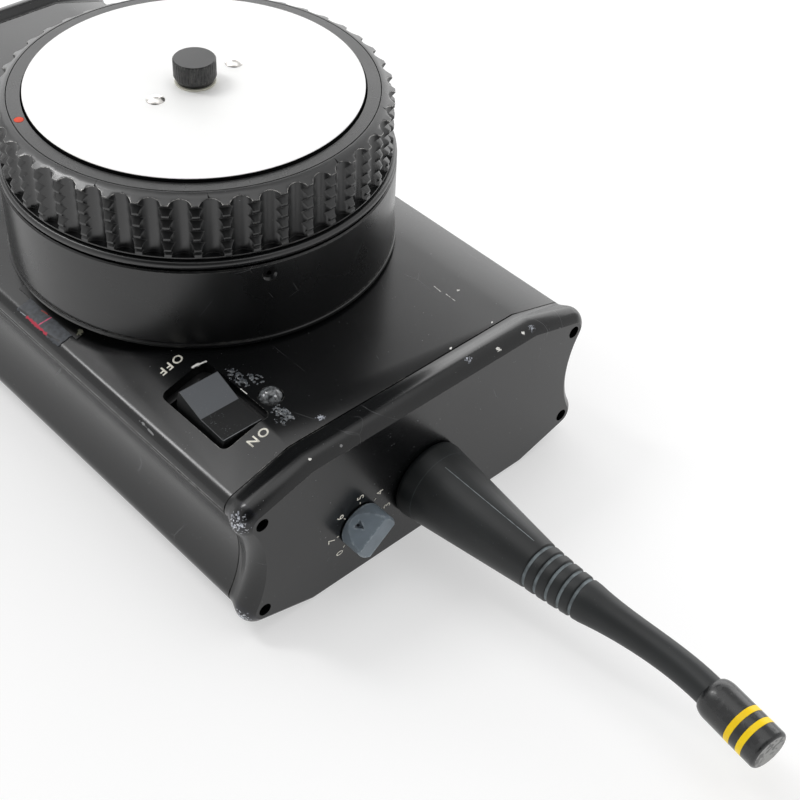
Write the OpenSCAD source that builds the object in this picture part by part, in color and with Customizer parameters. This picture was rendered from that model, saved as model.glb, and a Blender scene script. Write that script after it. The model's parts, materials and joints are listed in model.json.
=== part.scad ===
// Hand unit of a wireless lens control, lying on its flat back.
// The knob turns about the Z axis through the origin and the antenna points along -Y.
// All sizes are in millimetres.

/* [Body] */
// Height of the body between its two flat faces
body_h = 38.2; // [37.8:0.1:39]
// Half width of the flat top, out to the crease
top_half = 30.3; // [30:0.1:30.8]
// Angle of the sloped shoulders in degrees
slope_deg = 16; // [15.5:0.25:16.5]
// Distance of the corner lobes from the middle plane
lobe_x = 42.7; // [42.6:0.1:43]
// Radius of the corner lobes
lobe_r = 3.2; // [3.1:0.05:3.3]
// Half width at the waist of the grip
waist_half = 42.85; // [42.75:0.05:43]
// Wall of the shells
wall = 2.2; // [2:0.1:2.4]
// Antenna end of the shells
front_y = -65.6; // [-67:0.1:-65.4]
// Far end of the shells
rear_y = 104.5; // [103:0.5:108]
// Height of the seam between lower shell and top cover
seam_z = 31; // [30.8:0.1:31.2]
// Gap at the seam
seam_gap = 0.3; // [0.1:0.05:0.35]

/* [End caps] */
// Thickness of an end cap
cap_t = 7.2; // [7:0.1:7.4]
// Thickness of the gasket behind an end cap
gasket_t = 0.3; // [0.2:0.05:0.4]
// How far the cap swells out beyond the shells
cap_swell = 1.2; // [0.8:0.1:1.4]
// How far the cap's flat face lies inside the shells' outline
cap_nose = 0.9; // [0.6:0.1:1.2]
// Distance of the widest place from the gasket
cap_ridge = 4; // [3.6:0.1:4.4]
// Radius of the screw holes in the lobes
cap_hole_r = 1.45; // [1.4:0.05:1.5]

/* [Focus knob] */
// Radius of the fixed drum
drum_r = 42; // [41.6:0.1:42.4]
// Height of the fixed drum above the top cover
drum_h = 19.6; // [19.4:0.1:19.65]
// Radius of the wheel over its tooth crests
wheel_r = 41.15; // [41:0.05:41.4]
// Height of the wheel's flat top above the top cover
wheel_top = 35.8; // [35.6:0.1:35.9]
// Number of flutes round the wheel
flute_count = 45; // [36:1:48]
// Radius of the flutes
flute_r = 2.3; // [2.1:0.05:2.4]
// V grooves that cut the lands into teeth
groove_count = 4; // [3:1:5]
// Depth of the V grooves
groove_depth = 1.15; // [0.9:0.05:1.25]
// Turn of the wheel to either side in degrees
wheel_turn = 150; // [120:5:150]
// Radius of the white marking disc
disc_r = 34.93; // [34.5:0.01:34.95]
// Thickness of the white marking disc
disc_t = 0.6; // [0.4:0.05:0.7]
// Direction of the index dot in degrees
dot_deg = 162.6; // [150:0.2:175]
// Radius of the thumb nut
nut_r = 4.45; // [4.2:0.05:4.8]

/* [Gears] */
// Teeth of the gear on the wheel
gear_teeth = 44; // [44:44]
// Teeth of the encoder's pinion
pinion_teeth = 14; // [14:14]
// Module of both gears
gear_module = 1; // [1:1]
// Pressure angle in degrees
pressure_deg = 20; // [18:0.5:22]
// Play taken off each tooth
backlash = 0.12; // [0.08:0.02:0.2]

/* [Rocker switch and lamp] */
// Rocker centre from the middle plane
rocker_x = -33.2; // [-33.3:0.1:-33]
// Rocker centre along the body
rocker_y = -47; // [-48:0.1:-46.9]
// Tilt of the rocker at rest in degrees
rocker_tilt = 12.5; // [11:0.5:13]
// Lamp centre from the middle plane
lamp_x = -23.9; // [-24.2:0.1:-22]
// Lamp centre along the body
lamp_y = -52.6; // [-54:0.1:-51]

/* [Channel selector] */
// Selector centre from the middle plane
selector_x = -18.2; // [-18.6:0.1:-17.8]
// Selector centre above the back
selector_z = 14.5; // [14:0.1:15]
// Radius of the selector's round base
selector_r = 5; // [4.8:0.1:5.4]
// Height of the selector knob
selector_h = 5.1; // [4.9:0.1:5.6]
// Direction of the bar across the base in degrees
bar_deg = 38; // [30:1:45]

/* [Antenna] */
// Height of the antenna's axis above the back
antenna_z = 15.7; // [15.2:0.1:16]
// Radius of the rubber boot at its root
boot_r = 8.9; // [8.6:0.1:9.1]
// Radius of the boot where its grooves begin
boot_end_r = 5.2; // [5:0.1:5.4]
// Length of the boot down to its grooves
boot_len = 31.5; // [30:0.5:33]
// Ring grooves on the boot
ring_count = 5; // [3:1:6]
// Length of the thin neck
neck_len = 28.4; // [27:0.1:31]
// Radius of the neck at the tip
neck_r = 3.1; // [3:0.01:3.2]
// Bow of the grooves and neck in degrees
neck_bow = 6; // [0:0.5:10]
// Side that they bow to, in degrees from upright toward the right
bow_side = 85; // [0:5:90]
// Turn of the tip back against the bow in degrees
tip_turn = 7.6; // [0:0.1:12]
// Radius of the tip
tip_r = 4.25; // [4.1:0.05:4.4]
// Length of the tip
tip_len = 15.1; // [14.6:0.1:16]

/* [Power inlet] */
// Inlet centre from the middle plane
inlet_x = 22; // [18:0.5:24]
// Radius of the inlet's plug bore
inlet_bore_r = 4.5; // [4.4:0.05:4.6]
// Depth of the inlet's plug bore
inlet_depth = 6; // [5.5:0.1:6.5]

/* [Hidden] */
$fn = 96;
eps = 0.02;
fit = 0.02;
play = 0.06;
air = 0.3;
room = [200, 400, 60];
half_h = body_h / 2;
lobe_dz = half_h - (lobe_x - top_half) * tan(slope_deg) - lobe_r / cos(slope_deg);
waist_in = waist_half - lobe_x;
waist_r = (waist_in * waist_in + lobe_dz * lobe_dz - lobe_r * lobe_r) / (2 * (lobe_r - waist_in));
waist_cx = waist_half + waist_r;
exit_deg = atan2(-lobe_dz, waist_cx - lobe_x);
boss_r = 2.3;
cavity_x = lobe_x - boss_r;
cap_in_front = front_y - gasket_t;
cap_in_rear = rear_y + gasket_t;
face_front = cap_in_front - cap_t;
face_rear = cap_in_rear + cap_t;
cap_plate = 3.2;
cap_pocket = cap_t - cap_plate;
screw_seat = 2.4;
gasket_in = 0.5;
gasket_half = lobe_x + lobe_r - gasket_in;
screw_r = 1;
screw_len = 9;
screw_head_r = 1.35;
screw_head_h = 1.8;
screw_hex_r = 0.75;

flange_r = drum_r + 0.5;
drum_lift = 0.6;
floor_top = 3.6;
pedestal_r = 24;
hub_in = 12;
hub_out = 15;
hub_top = 24;
bush_r = 16;
bush_len = 4;
wheel_bore = bush_r + play;
wheel_hub_r = 19;
wheel_hub_z = 5.2;
web_z = 20;
web_top = 23.4;
skirt_z = 13;
skirt_in = 36.8;
skirt_out = 38.8;
ring_in = 35.3;
ring_out = 38.1;
ring_z = wheel_top - 2.5;
knurl_z = 24;
knurl_top = 34.5;
edge_r = 39.7;
edge_z = 35.1;
land_z = 22.2;
foot_groove = [0.5, 0.35, 0.55];
undercut_r = 40.5;
bead_r = wheel_r + 0.85;
bead_round = 0.9;
bead_z = 19.9;
flute_axis = wheel_r + 0.7;
flute_z = land_z + 0.3;
flute_top = 34.6;
flute_first = 4.7;
stop_r = 33;
stop_pin_r = 1.5;
stop_pin_z = 14;
stop_half_deg = 180 - wheel_turn - asin(stop_pin_r / stop_r) - 0.8;
drum_hole_r = 20;
drum_screw_r = 1.5;
drum_head_r = 2.75;
drum_head_h = 1.7;
carrier_z = 34;
carrier_top = 35.85;
disc_top = carrier_top + disc_t;
post_r = 6;
post_flange_r = 18.5;
post_flange_t = 2;
post_screw_ring = 13.5;
post_screw_r = 0.9;
post_screw_len = 5;
post_head_r = 1.9;
post_head_h = 1.4;
stud_r = 2;
pin_ring = 10.6;
pin_deg = 4;
pin_r = 1.5;
pin_head_r = 2;
pin_head_h = 0.8;
washer_t = 0.4;
nut_z = disc_top + washer_t;
nut_h = 5;
stud_top = nut_z + 3.9;
nut_knurls = 40;

gear_z = 6;
gear_h = 4;
gear_pitch_r = gear_teeth * gear_module / 2;
pinion_pitch_r = pinion_teeth * gear_module / 2;
encoder_y = gear_pitch_r + pinion_pitch_r;
encoder_r = 8.5;
encoder_h = 13;
encoder_bush_r = 3.5;
encoder_shaft_r = 2;
encoder_nut_r = 5.6;
encoder_nut_h = 1.2;

rocker_drop = 7.5;
rocker_half_w = 4.7;
rocker_half_l = 7;
rocker_valley = 6.9;
rocker_end = 8;
rocker_pin_r = 0.8;
rocker_cut = [11.6, 20.5];
rocker_cut_off = [0.15, 0.25];
rocker_cut_r = 1.6;
housing_half = [6.3, 10.8];
housing_cavity = [5.1, 9];
housing_depth = 18;
terminal_pitch = 5;
terminal_slot = [1, 2.4, 8];
terminal_size = [0.9, 2.3, 9];
lamp_r = 2.5;
lamp_sink = 0.7;
lamp_foot = 6;
lamp_rim_r = 2.85;
lead_y = 1.27;
lead_r = 0.3;
lead_len = 6;

selector_gap = 0.3;
selector_band = 1.1;
selector_bar_t = 4.4;
selector_grip = 3.4;
pointer_sink = 0.45;
selector_bush_r = 3;
selector_shaft_r = 1.5;
selector_sink = 1.6;
selector_nut_r = 4.5;
selector_body_r = 7.6;
selector_body_l = 9;

jack_r = 4.8;
jack_flange_r = 7;
jack_len = 10;
jack_bore_r = 3.6;
jack_nut_h = 2;
plug_r = 6.4;
plug_len = 11.5;
boot_y = face_front - air;
plug_y = boot_y - 1.3;
plug_end = plug_y - plug_len;
core_r = 1.2;
ring_pitch = 2.65;
ring_cut = 0.45;
ring_y = boot_y - boot_len;
neck_y = ring_y - ring_count * ring_pitch;
neck_start_r = 4.25;
neck_steps = 14;
bend_len = ring_count * ring_pitch + neck_len;
tip_grip = 3;
stub_r = neck_r - 0.25;
sleeve_sides = 28;

inlet_z = half_h;
inlet_r = 6;
inlet_flange_r = 7.6;
inlet_flange_t = 1.6;
inlet_core_r = inlet_bore_r - 0.3;
inlet_back = cap_in_rear - 5;
inlet_nut_r = 8.6;
inlet_nut_h = 2.2;
contact_x = 2;
contact_r = 0.9;
contact_bore_r = 0.5;
contact_tail = 4;

board_z = 8;
board_t = 1.6;
board_half_x = 29;
board_y = [-44, 84];
board_hole = [25, 4];
board_screw_r = 1.2;
board_head_r = 2.2;
board_head_h = 1.6;
standoff_r = 2.6;
radio_size = [28, 36, 5];
radio_inset = 10;

// A bar with its profile in X and Z, reaching from y0 to y1.
module along_y(y0, y1) {
    translate([0, y1, 0]) rotate([90, 0, 0]) linear_extrude(y1 - y0) children();
}

// A round bar along Y.
module rod_y(x, z, r, y0, y1) {
    translate([x, y1, z]) rotate([90, 0, 0]) cylinder(r = r, h = y1 - y0);
}

// A round bar along Z with its foot z0 above the top cover.
module post(x, y, r, z0, z1) {
    translate([x, y, body_h + z0]) cylinder(r = r, h = z1 - z0);
}

// A turned ring about the knob's axis, heights counted from the top cover.
module ring(r0, r1, z0, z1) {
    difference() {
        post(0, 0, r1, z0, z1);
        post(0, 0, r0, z0 - 1, z1 + 1);
    }
}

// The space above a height.
module above(z) {
    translate([-room[0] / 2, -room[1] / 2, z]) cube(room);
}

// The places of the four lobes.
module at_lobes() {
    for (sx = [-1, 1], sz = [-1, 1])
        translate([sx * lobe_x, 0, half_h + sz * lobe_dz]) children();
}

function mirror_z(p) = [for (i = [len(p) - 1:-1:0]) [p[i][0], -p[i][1]]];
function mirror_x(p) = [for (i = [len(p) - 1:-1:0]) [-p[i][0], p[i][1]]];
function whole(q) = let (right = concat(q, mirror_z(q))) concat(right, mirror_x(right));
function on_arc(cx, cz, r, a) = [cx + r * cos(a), cz + r * sin(a)];
function crease(e) = [top_half + e * tan(slope_deg / 2), half_h + e];

// Straight core of the body's section; the lobes are added to it and the waists cut from it.
function core_quarter() = [
    crease(0),
    on_arc(lobe_x, lobe_dz, lobe_r, 90 - slope_deg),
    [lobe_x, lobe_dz],
    on_arc(lobe_x, lobe_dz, lobe_r, exit_deg)
];

// The section's outline moved outwards by e, with its arcs in short steps.
lobe_steps = 12;
waist_steps = 7;
function outline_quarter(e) = concat(
    [crease(e)],
    [for (i = [0:lobe_steps])
        let (a = 90 - slope_deg + (exit_deg - 90 + slope_deg) * i / lobe_steps)
        on_arc(lobe_x, lobe_dz, lobe_r + e, a)],
    [for (i = [1:waist_steps - 1])
        on_arc(waist_cx, 0, waist_r - e, 180 + exit_deg * (1 - i / waist_steps))]
);

module section_bar(y0, y1) {
    difference() {
        union() {
            translate([0, 0, half_h]) along_y(y0, y1) polygon(whole(core_quarter()));
            at_lobes() rod_y(0, 0, lobe_r, y0, y1);
        }
        for (sx = [-1, 1])
            rod_y(sx * waist_cx, half_h, waist_r, y0 - 1, y1 + 1);
    }
}

function cavity_quarter(inset) = let (
    x0 = top_half - wall * tan(slope_deg / 2),
    z0 = half_h - wall - inset,
    x1 = cavity_x - inset
) [[x0, z0], [x1, z0 - (x1 - x0) * tan(slope_deg)]];

module cavity_bar(y0, y1, inset = 0) {
    translate([0, 0, half_h]) along_y(y0, y1) polygon(whole(cavity_quarter(inset)));
}

module screw_bores() {
    at_lobes() {
        rod_y(0, 0, screw_r, front_y - 1, front_y + screw_len);
        rod_y(0, 0, screw_r, rear_y - screw_len, rear_y + 1);
    }
}

module lower_shell() {
    color("#2c2d2e") difference() {
        section_bar(front_y, rear_y);
        cavity_bar(front_y - 1, rear_y + 1);
        above(seam_z - seam_gap / 2);
        for (sx = [-1, 1])
            rod_y(sx * lobe_x, half_h + lobe_dz, boss_r + seam_gap / 4, front_y - 1, rear_y + 1);
        screw_bores();
    }
}

module rounded_window(size, r) {
    for (sx = [-1, 1], sy = [-1, 1])
        translate([sx * (size[0] / 2 - r), sy * (size[1] / 2 - r), 0]) circle(r = r);
    square([size[0] - 2 * r, size[1]], center = true);
    square([size[0], size[1] - 2 * r], center = true);
}

module top_cover() {
    color("#2f3031") difference() {
        union() {
            intersection() {
                section_bar(front_y, rear_y);
                above(seam_z + seam_gap / 2);
            }
            for (sx = [-1, 1])
                rod_y(sx * lobe_x, half_h + lobe_dz, boss_r, front_y, rear_y);
        }
        cavity_bar(front_y - 1, rear_y + 1);
        screw_bores();
        translate([rocker_x + rocker_cut_off[0], rocker_y + rocker_cut_off[1], body_h - 8])
            linear_extrude(10) rounded_window(rocker_cut, rocker_cut_r);
        post(lamp_x, lamp_y, lamp_r + air / 3, -wall - 1, 1);
        post(0, encoder_y, encoder_bush_r + air / 3, -wall - 1, 1);
        for (i = [0:3]) rotate(45 + 90 * i) post(drum_hole_r, 0, drum_screw_r + 0.1, -wall - 1, 1);
    }
}

// A cap's swelling skin: a cove out to the widest place, then a round to the flat face.
cove_steps = 6;
round_steps = 6;
round_deg = 65;
function ease(u) = u * u * (3 - 2 * u);
function cap_stations() = concat(
    [for (i = [0:cove_steps]) [cap_ridge * i / cove_steps, cap_swell * ease(i / cove_steps)]],
    [for (i = [1:round_steps])
        let (a = round_deg * i / round_steps)
        [cap_ridge + (cap_t - cap_ridge) * sin(a) / sin(round_deg),
         cap_swell - (cap_swell + cap_nose) * (1 - cos(a)) / (1 - cos(round_deg))]]
);
function waist_point(e) = [waist_half + e, 0];
function cap_outline(e) = let (
    q = outline_quarter(e),
    right = concat(q, [waist_point(e)], mirror_z(q))
) concat(right, mirror_x(right));
function skin_faces(rings, n) = concat(
    [[for (j = [0:n - 1]) j]],
    [for (i = [0:rings - 2], j = [0:n - 1])
        [i * n + j, (i + 1) * n + j, (i + 1) * n + (j + 1) % n, i * n + (j + 1) % n]],
    [[for (j = [n - 1:-1:0]) (rings - 1) * n + j]]
);

module cap_blank() {
    stations = cap_stations();
    n = len(cap_outline(0));
    points = [for (s = stations) for (p = cap_outline(s[1])) [p[0], s[0], p[1] + half_h]];
    difference() {
        intersection() {
            polyhedron(points, skin_faces(len(stations), n));
            above(0);
        }
        cavity_bar(-1, cap_pocket, 1);
        at_lobes() {
            rod_y(0, 0, cap_hole_r, screw_seat, cap_t + 1);
            rod_y(0, 0, screw_r + 0.1, -1, screw_seat + 1);
        }
    }
}

module front_cap() {
    color("#2c2d2e") difference() {
        translate([0, cap_in_front, 0]) mirror([0, 1, 0]) cap_blank();
        rod_y(selector_x, selector_z, selector_bush_r + fit, face_front - 1, cap_in_front);
        rod_y(selector_x, selector_z, selector_r - 0.2, face_front - 1, face_front + selector_sink);
        rod_y(0, antenna_z, jack_r + fit, face_front - 1, cap_in_front);
    }
}

module rear_cap() {
    color("#2c2d2e") difference() {
        translate([0, cap_in_rear, 0]) cap_blank();
        rod_y(inlet_x, inlet_z, inlet_r + fit, cap_in_rear, face_rear + 1);
    }
}

module gasket(y0, y1) {
    difference() {
        intersection() {
            section_bar(y0, y1);
            above(gasket_in);
            translate([-gasket_half, y0, 0]) cube([2 * gasket_half, y1 - y0, body_h - gasket_in]);
        }
        cavity_bar(y0 - 1, y1 + 1);
        at_lobes() rod_y(0, 0, screw_r + 0.1, y0 - 1, y1 + 1);
    }
}

module front_gasket() {
    color("#121212") gasket(cap_in_front, front_y);
}

module rear_gasket() {
    color("#121212") gasket(rear_y, cap_in_rear);
}

// Socket-head screw along +Y with its head's seat at y = 0 and the head towards -Y.
module cap_screw() {
    difference() {
        union() {
            rod_y(0, 0, screw_head_r, -screw_head_h, 0);
            rod_y(0, 0, screw_r - fit, -eps, screw_seat + gasket_t + screw_len - 1);
        }
        translate([0, -screw_head_h + 1, 0]) rotate([90, 0, 0]) cylinder(r = screw_hex_r, h = 2, $fn = 6);
    }
}

module front_cap_screws() {
    color("#1f1f20") at_lobes() translate([0, cap_in_front - screw_seat, 0]) cap_screw();
}

module rear_cap_screws() {
    color("#1f1f20") at_lobes() translate([0, cap_in_rear + screw_seat, 0]) mirror([0, 1, 0]) cap_screw();
}

module knob_drum() {
    color("#303132") difference() {
        translate([0, 0, body_h]) rotate_extrude() polygon([
            [hub_in, 0], [pedestal_r, 0], [pedestal_r, drum_lift], [flange_r - 0.2, drum_lift],
            [flange_r, drum_lift + 0.2], [flange_r, drum_lift + 0.8], [flange_r - 0.2, drum_lift + 1],
            [drum_r, drum_lift + 1], [drum_r, drum_h - 0.3], [drum_r - 0.3, drum_h],
            [skirt_out + 0.4, drum_h], [skirt_out + 0.4, floor_top], [hub_out, floor_top],
            [hub_out, hub_top], [hub_in, hub_top]
        ]);
        post(0, encoder_y, encoder_bush_r + air / 3, -1, floor_top + 1);
        for (i = [0:3]) rotate(45 + 90 * i) post(drum_hole_r, 0, drum_screw_r, -1, floor_top - 0.4);
        at_post_screws() post(0, 0, post_screw_r, hub_top - post_screw_len - 1, hub_top + 1);
        set_screw_place() cylinder(r = set_screw_r, h = 8, center = true);
        set_screw_place() translate([0, 0, set_screw_in - set_screw_sink])
            cylinder(r1 = set_screw_r, r2 = set_screw_r + 2 * set_screw_sink, h = 2 * set_screw_sink);
    }
}

// Axis of the drum's radial set screw.
set_screw_r = 1.1;
set_screw_in = 1.4;
set_screw_sink = 0.45;
module set_screw_place() {
    rotate(-108.4) translate([drum_r - set_screw_in, 0, body_h + 17]) rotate([0, 90, 0]) children();
}

module drum_screws() {
    color("#8c8c8a") for (i = [0:3]) rotate(45 + 90 * i) {
        post(drum_hole_r, 0, drum_screw_r - fit, -wall - eps, floor_top - 0.8);
        post(drum_hole_r, 0, drum_head_r, -wall - drum_head_h, -wall);
    }
}

module drum_set_screw() {
    color("#6f6f6d") set_screw_place() difference() {
        translate([0, 0, -1.2]) cylinder(r = set_screw_r - fit, h = 2.1);
        cylinder(r = 0.6, h = 2, $fn = 6);
    }
}

module wheel_bushes() {
    color("#a8874a") {
        ring(hub_out + fit, bush_r, wheel_hub_z + air, wheel_hub_z + air + bush_len);
        ring(hub_out + fit, bush_r, web_top - air - bush_len, web_top - air);
    }
}

module thrust_washer() {
    color("#a8874a") ring(hub_out + 2 * fit, wheel_hub_r + 0.4, floor_top, wheel_hub_z - air);
}

knurl_pitch = (knurl_top - knurl_z) / groove_count;
knurl_v = knurl_pitch * 0.41;
function wheel_profile() = concat(
    [[wheel_bore, wheel_hub_z], [wheel_hub_r, wheel_hub_z], [wheel_hub_r, web_z], [skirt_in, web_z],
     [skirt_in, skirt_z], [skirt_out, skirt_z], [skirt_out, web_z]],
    [for (a = [-90:15:75]) on_arc(bead_r - bead_round, bead_z + bead_round, bead_round, a)],
    [[undercut_r, bead_z + 2 * bead_round], [wheel_r, land_z]],
    [for (s = [-1:1])
        [wheel_r - (s == 0 ? foot_groove[0] : 0), knurl_z - foot_groove[2] + s * foot_groove[1]]],
    [for (i = [0:groove_count - 1], s = [-1:1])
        [wheel_r - (s == 0 ? groove_depth : 0), knurl_z + knurl_pitch * (i + 0.5) + s * knurl_v]],
    [[wheel_r, knurl_top], [edge_r, edge_z], [ring_out + 0.45, wheel_top], [ring_out + 0.15, wheel_top],
     [ring_out + 0.15, ring_z], [ring_out - 1.1, ring_z], [ring_out - 1.1, web_top], [wheel_bore, web_top]]
);

// A flute is cut by a round-ended bar that stops at the foot of the land.
function flute_profile() = concat(
    [[0, flute_z], [flute_r, flute_z]],
    [for (a = [0:30:90]) on_arc(0, flute_top, flute_r, a)]
);

module focus_wheel() {
    color("#333435") translate([0, 0, body_h]) difference() {
        rotate_extrude() polygon(wheel_profile());
        for (i = [0:flute_count - 1])
            rotate(flute_first + i * 360 / flute_count) translate([flute_axis, 0, 0])
                rotate_extrude() polygon(flute_profile());
        rotate(dot_deg) translate([stop_r, 0, web_z - 1]) cylinder(r = stop_pin_r, h = 3);
    }
}

module index_ring() {
    color("#343536") difference() {
        ring(ring_in, ring_out, ring_z, wheel_top);
        rotate(dot_deg) post((ring_in + ring_out) / 2, 0, 1, wheel_top - 0.4, wheel_top + 1);
    }
}

module index_dot() {
    color("#e8592a") rotate(dot_deg) post((ring_in + ring_out) / 2, 0, 1, wheel_top - 0.4, wheel_top + 0.05);
}

// Involute teeth: half the angle of a tooth at radius r, in degrees.
function involute(a) = tan(a) * 180 / PI - a;
function tooth_half(n, r) = let (
    rp = n * gear_module / 2,
    a = acos(min(1, rp * cos(pressure_deg) / r))
) 90 / n - backlash * 90 / (PI * rp) + involute(pressure_deg) - involute(a);
flank_steps = 3;
addendum = 0.8 * gear_module;
dedendum = gear_module;
function flank(n, side) = let (
    rp = n * gear_module / 2,
    r0 = max(rp - dedendum, rp * cos(pressure_deg)),
    r1 = rp + addendum
) [for (i = [0:flank_steps])
    let (r = side < 0 ? r0 + (r1 - r0) * i / flank_steps : r1 - (r1 - r0) * i / flank_steps)
    [r, side * tooth_half(n, r)]];
function tooth(n) = let (root = n * gear_module / 2 - dedendum) concat(
    [[root, -tooth_half(n, root)]], flank(n, -1), flank(n, 1), [[root, tooth_half(n, root)]]
);
function gear_points(n) = [
    for (k = [0:n - 1]) for (p = tooth(n)) on_arc(0, 0, p[0], k * 360 / n + p[1])
];

module spur_gear(n, bore) {
    difference() {
        linear_extrude(gear_h) polygon(gear_points(n));
        translate([0, 0, -1]) cylinder(r = bore, h = gear_h + 2);
    }
}

module drive_gear() {
    color("#b99b57") translate([0, 0, body_h + gear_z]) spur_gear(gear_teeth, wheel_hub_r + fit);
}

module stop_pin() {
    color("#9a9a98") rotate(dot_deg) post(stop_r, 0, stop_pin_r - fit, stop_pin_z, web_z + 2);
}

module stop_block() {
    inner = stop_r - stop_pin_r;
    outer = stop_r + stop_pin_r;
    steps = 8;
    color("#8f8f8d") translate([0, 0, body_h + floor_top]) rotate(dot_deg + 180)
        linear_extrude(stop_pin_z + 2 - floor_top) polygon(concat(
            [for (i = [-steps:steps]) on_arc(0, 0, outer, stop_half_deg * i / steps)],
            [for (i = [steps:-1:-steps]) on_arc(0, 0, inner, stop_half_deg * i / steps)]
        ));
}

module at_post_screws() {
    for (i = [0:2]) rotate(30 + 120 * i) translate([post_screw_ring, 0, 0]) children();
}

module disc_post() {
    color("#9c9c9a") difference() {
        union() {
            post(0, 0, post_flange_r, hub_top, hub_top + post_flange_t);
            post(0, 0, post_r, hub_top, carrier_z);
            post(0, 0, stud_r, hub_top, stud_top);
        }
        at_post_screws() post(0, 0, post_screw_r + 0.2, hub_top - 1, hub_top + 3);
    }
}

module post_screws() {
    seat = hub_top + post_flange_t;
    color("#8c8c8a") at_post_screws() {
        post(0, 0, post_screw_r - fit, hub_top - post_screw_len, seat + eps);
        post(0, 0, post_head_r, seat, seat + post_head_h);
    }
}

module at_pins() {
    for (i = [0:1]) rotate(pin_deg + 180 * i) translate([pin_ring, 0, 0]) children();
}

module disc_carrier() {
    color("#1d1e1f") difference() {
        post(0, 0, disc_r, carrier_z, carrier_top);
        post(0, 0, stud_r + 0.05, carrier_z - 1, carrier_top + 1);
        at_pins() post(0, 0, pin_r, carrier_z - 1, carrier_top + 1);
    }
}

module marking_disc() {
    color("#f6f6f3") difference() {
        post(0, 0, disc_r, carrier_top, disc_top);
        post(0, 0, stud_r + 0.1, carrier_top - 1, disc_top + 1);
        at_pins() post(0, 0, pin_r, carrier_top - 1, disc_top + 1);
    }
}

module locating_pins() {
    dome_r = (pin_head_r * pin_head_r + pin_head_h * pin_head_h) / (2 * pin_head_h);
    color("#b9b9b6") at_pins() {
        post(0, 0, pin_r - fit, carrier_z, disc_top + eps);
        intersection() {
            translate([0, 0, body_h + disc_top + pin_head_h - dome_r]) sphere(r = dome_r);
            post(0, 0, pin_head_r + 1, disc_top, disc_top + pin_head_h + 1);
        }
    }
}

module nut_washer() {
    color("#e6e3da") difference() {
        post(0, 0, nut_r - 0.15, disc_top, disc_top + washer_t);
        post(0, 0, stud_r + play, disc_top - 1, disc_top + washer_t + 1);
    }
}

module thumb_nut() {
    color("#1c1c1d") translate([0, 0, body_h + nut_z]) difference() {
        rotate_extrude() polygon([
            [0, 0], [nut_r - 0.6, 0], [nut_r, 1.2], [nut_r, nut_h - 0.25], [nut_r - 0.25, nut_h], [0, nut_h]
        ]);
        translate([0, 0, -1]) cylinder(r = stud_r + play, h = stud_top - nut_z + 1 + air);
        for (i = [0:nut_knurls - 1]) rotate(i * 360 / nut_knurls) translate([nut_r + 0.08, 0, 1.2])
            rotate(45) linear_extrude(nut_h) square(0.34, center = true);
    }
}

module encoder_body() {
    color("#3a4a3c") difference() {
        union() {
            post(0, encoder_y, encoder_r, -wall - encoder_h, -wall);
            post(0, encoder_y, encoder_bush_r, -wall - eps, floor_top + encoder_nut_h + 0.2);
        }
        post(0, encoder_y, encoder_shaft_r + play, -wall - encoder_h + 2, floor_top + 3);
    }
}

module encoder_nut() {
    color("#9a9a98") translate([0, encoder_y, body_h + floor_top]) difference() {
        cylinder(r = encoder_nut_r, h = encoder_nut_h, $fn = 6);
        translate([0, 0, -1]) cylinder(r = encoder_bush_r + fit, h = encoder_nut_h + 2);
    }
}

module encoder_shaft() {
    color("#b0b0ae") post(0, encoder_y, encoder_shaft_r, -wall - encoder_h + 2 + air, gear_z + gear_h + 1);
}

module drive_pinion() {
    color("#b99b57") translate([0, encoder_y, body_h + gear_z])
        spur_gear(pinion_teeth, encoder_shaft_r + fit);
}

// Axis of the rocker.
module at_rocker() {
    translate([rocker_x, rocker_y, body_h - rocker_drop]) children();
}

// A bar across the body, its profile in Y and Z and its middle at x = 0.
module across(w) {
    translate([-w / 2, 0, 0]) rotate([90, 0, 90]) linear_extrude(w) children();
}

module switch_housing() {
    x0 = rocker_x - housing_half[0];
    x1 = rocker_x + housing_half[0];
    crease_in = -top_half + wall * tan(slope_deg / 2);
    roof = body_h - wall - 0.1;
    color("#1a1a1b") difference() {
        along_y(rocker_y - housing_half[1], rocker_y + housing_half[1]) polygon([
            [x0, body_h - housing_depth], [x0, roof - (crease_in - x0) * tan(slope_deg)],
            [crease_in, roof], [x1, roof], [x1, body_h - housing_depth]
        ]);
        translate([rocker_x - housing_cavity[0], rocker_y - housing_cavity[1], body_h - rocker_drop - 5])
            cube([2 * housing_cavity[0], 2 * housing_cavity[1], 30]);
        at_rocker() rotate([0, 90, 0]) cylinder(r = rocker_pin_r, h = 40, center = true);
        terminal_places() cube(terminal_slot, center = true);
    }
}

module terminal_places() {
    for (i = [-1:1]) translate([rocker_x, rocker_y + terminal_pitch * i, body_h - housing_depth]) children();
}

module switch_terminals() {
    color("#b4a878") terminal_places() translate([0, 0, -1]) cube(terminal_size, center = true);
}

module rocker_pivot() {
    color("#9a9a98") at_rocker() rotate([0, 90, 0])
        cylinder(r = rocker_pin_r - fit, h = 2 * housing_half[0] - 0.6, center = true);
}

module rocker_button() {
    side = rocker_half_l + 0.3;
    color("#6c6d6e") at_rocker() rotate([rocker_tilt, 0, 0]) difference() {
        across(2 * rocker_half_w) polygon([
            [0, rocker_valley], [rocker_half_l, rocker_end], [side, rocker_end - 0.5], [side, 3.4], [5, 0],
            [2.2, -2.2], [-2.2, -2.2], [-5, 0], [-side, 3.4], [-side, rocker_end - 0.5],
            [-rocker_half_l, rocker_end]
        ]);
        rotate([0, 90, 0]) cylinder(r = rocker_pin_r + play, h = 40, center = true);
    }
}

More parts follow.
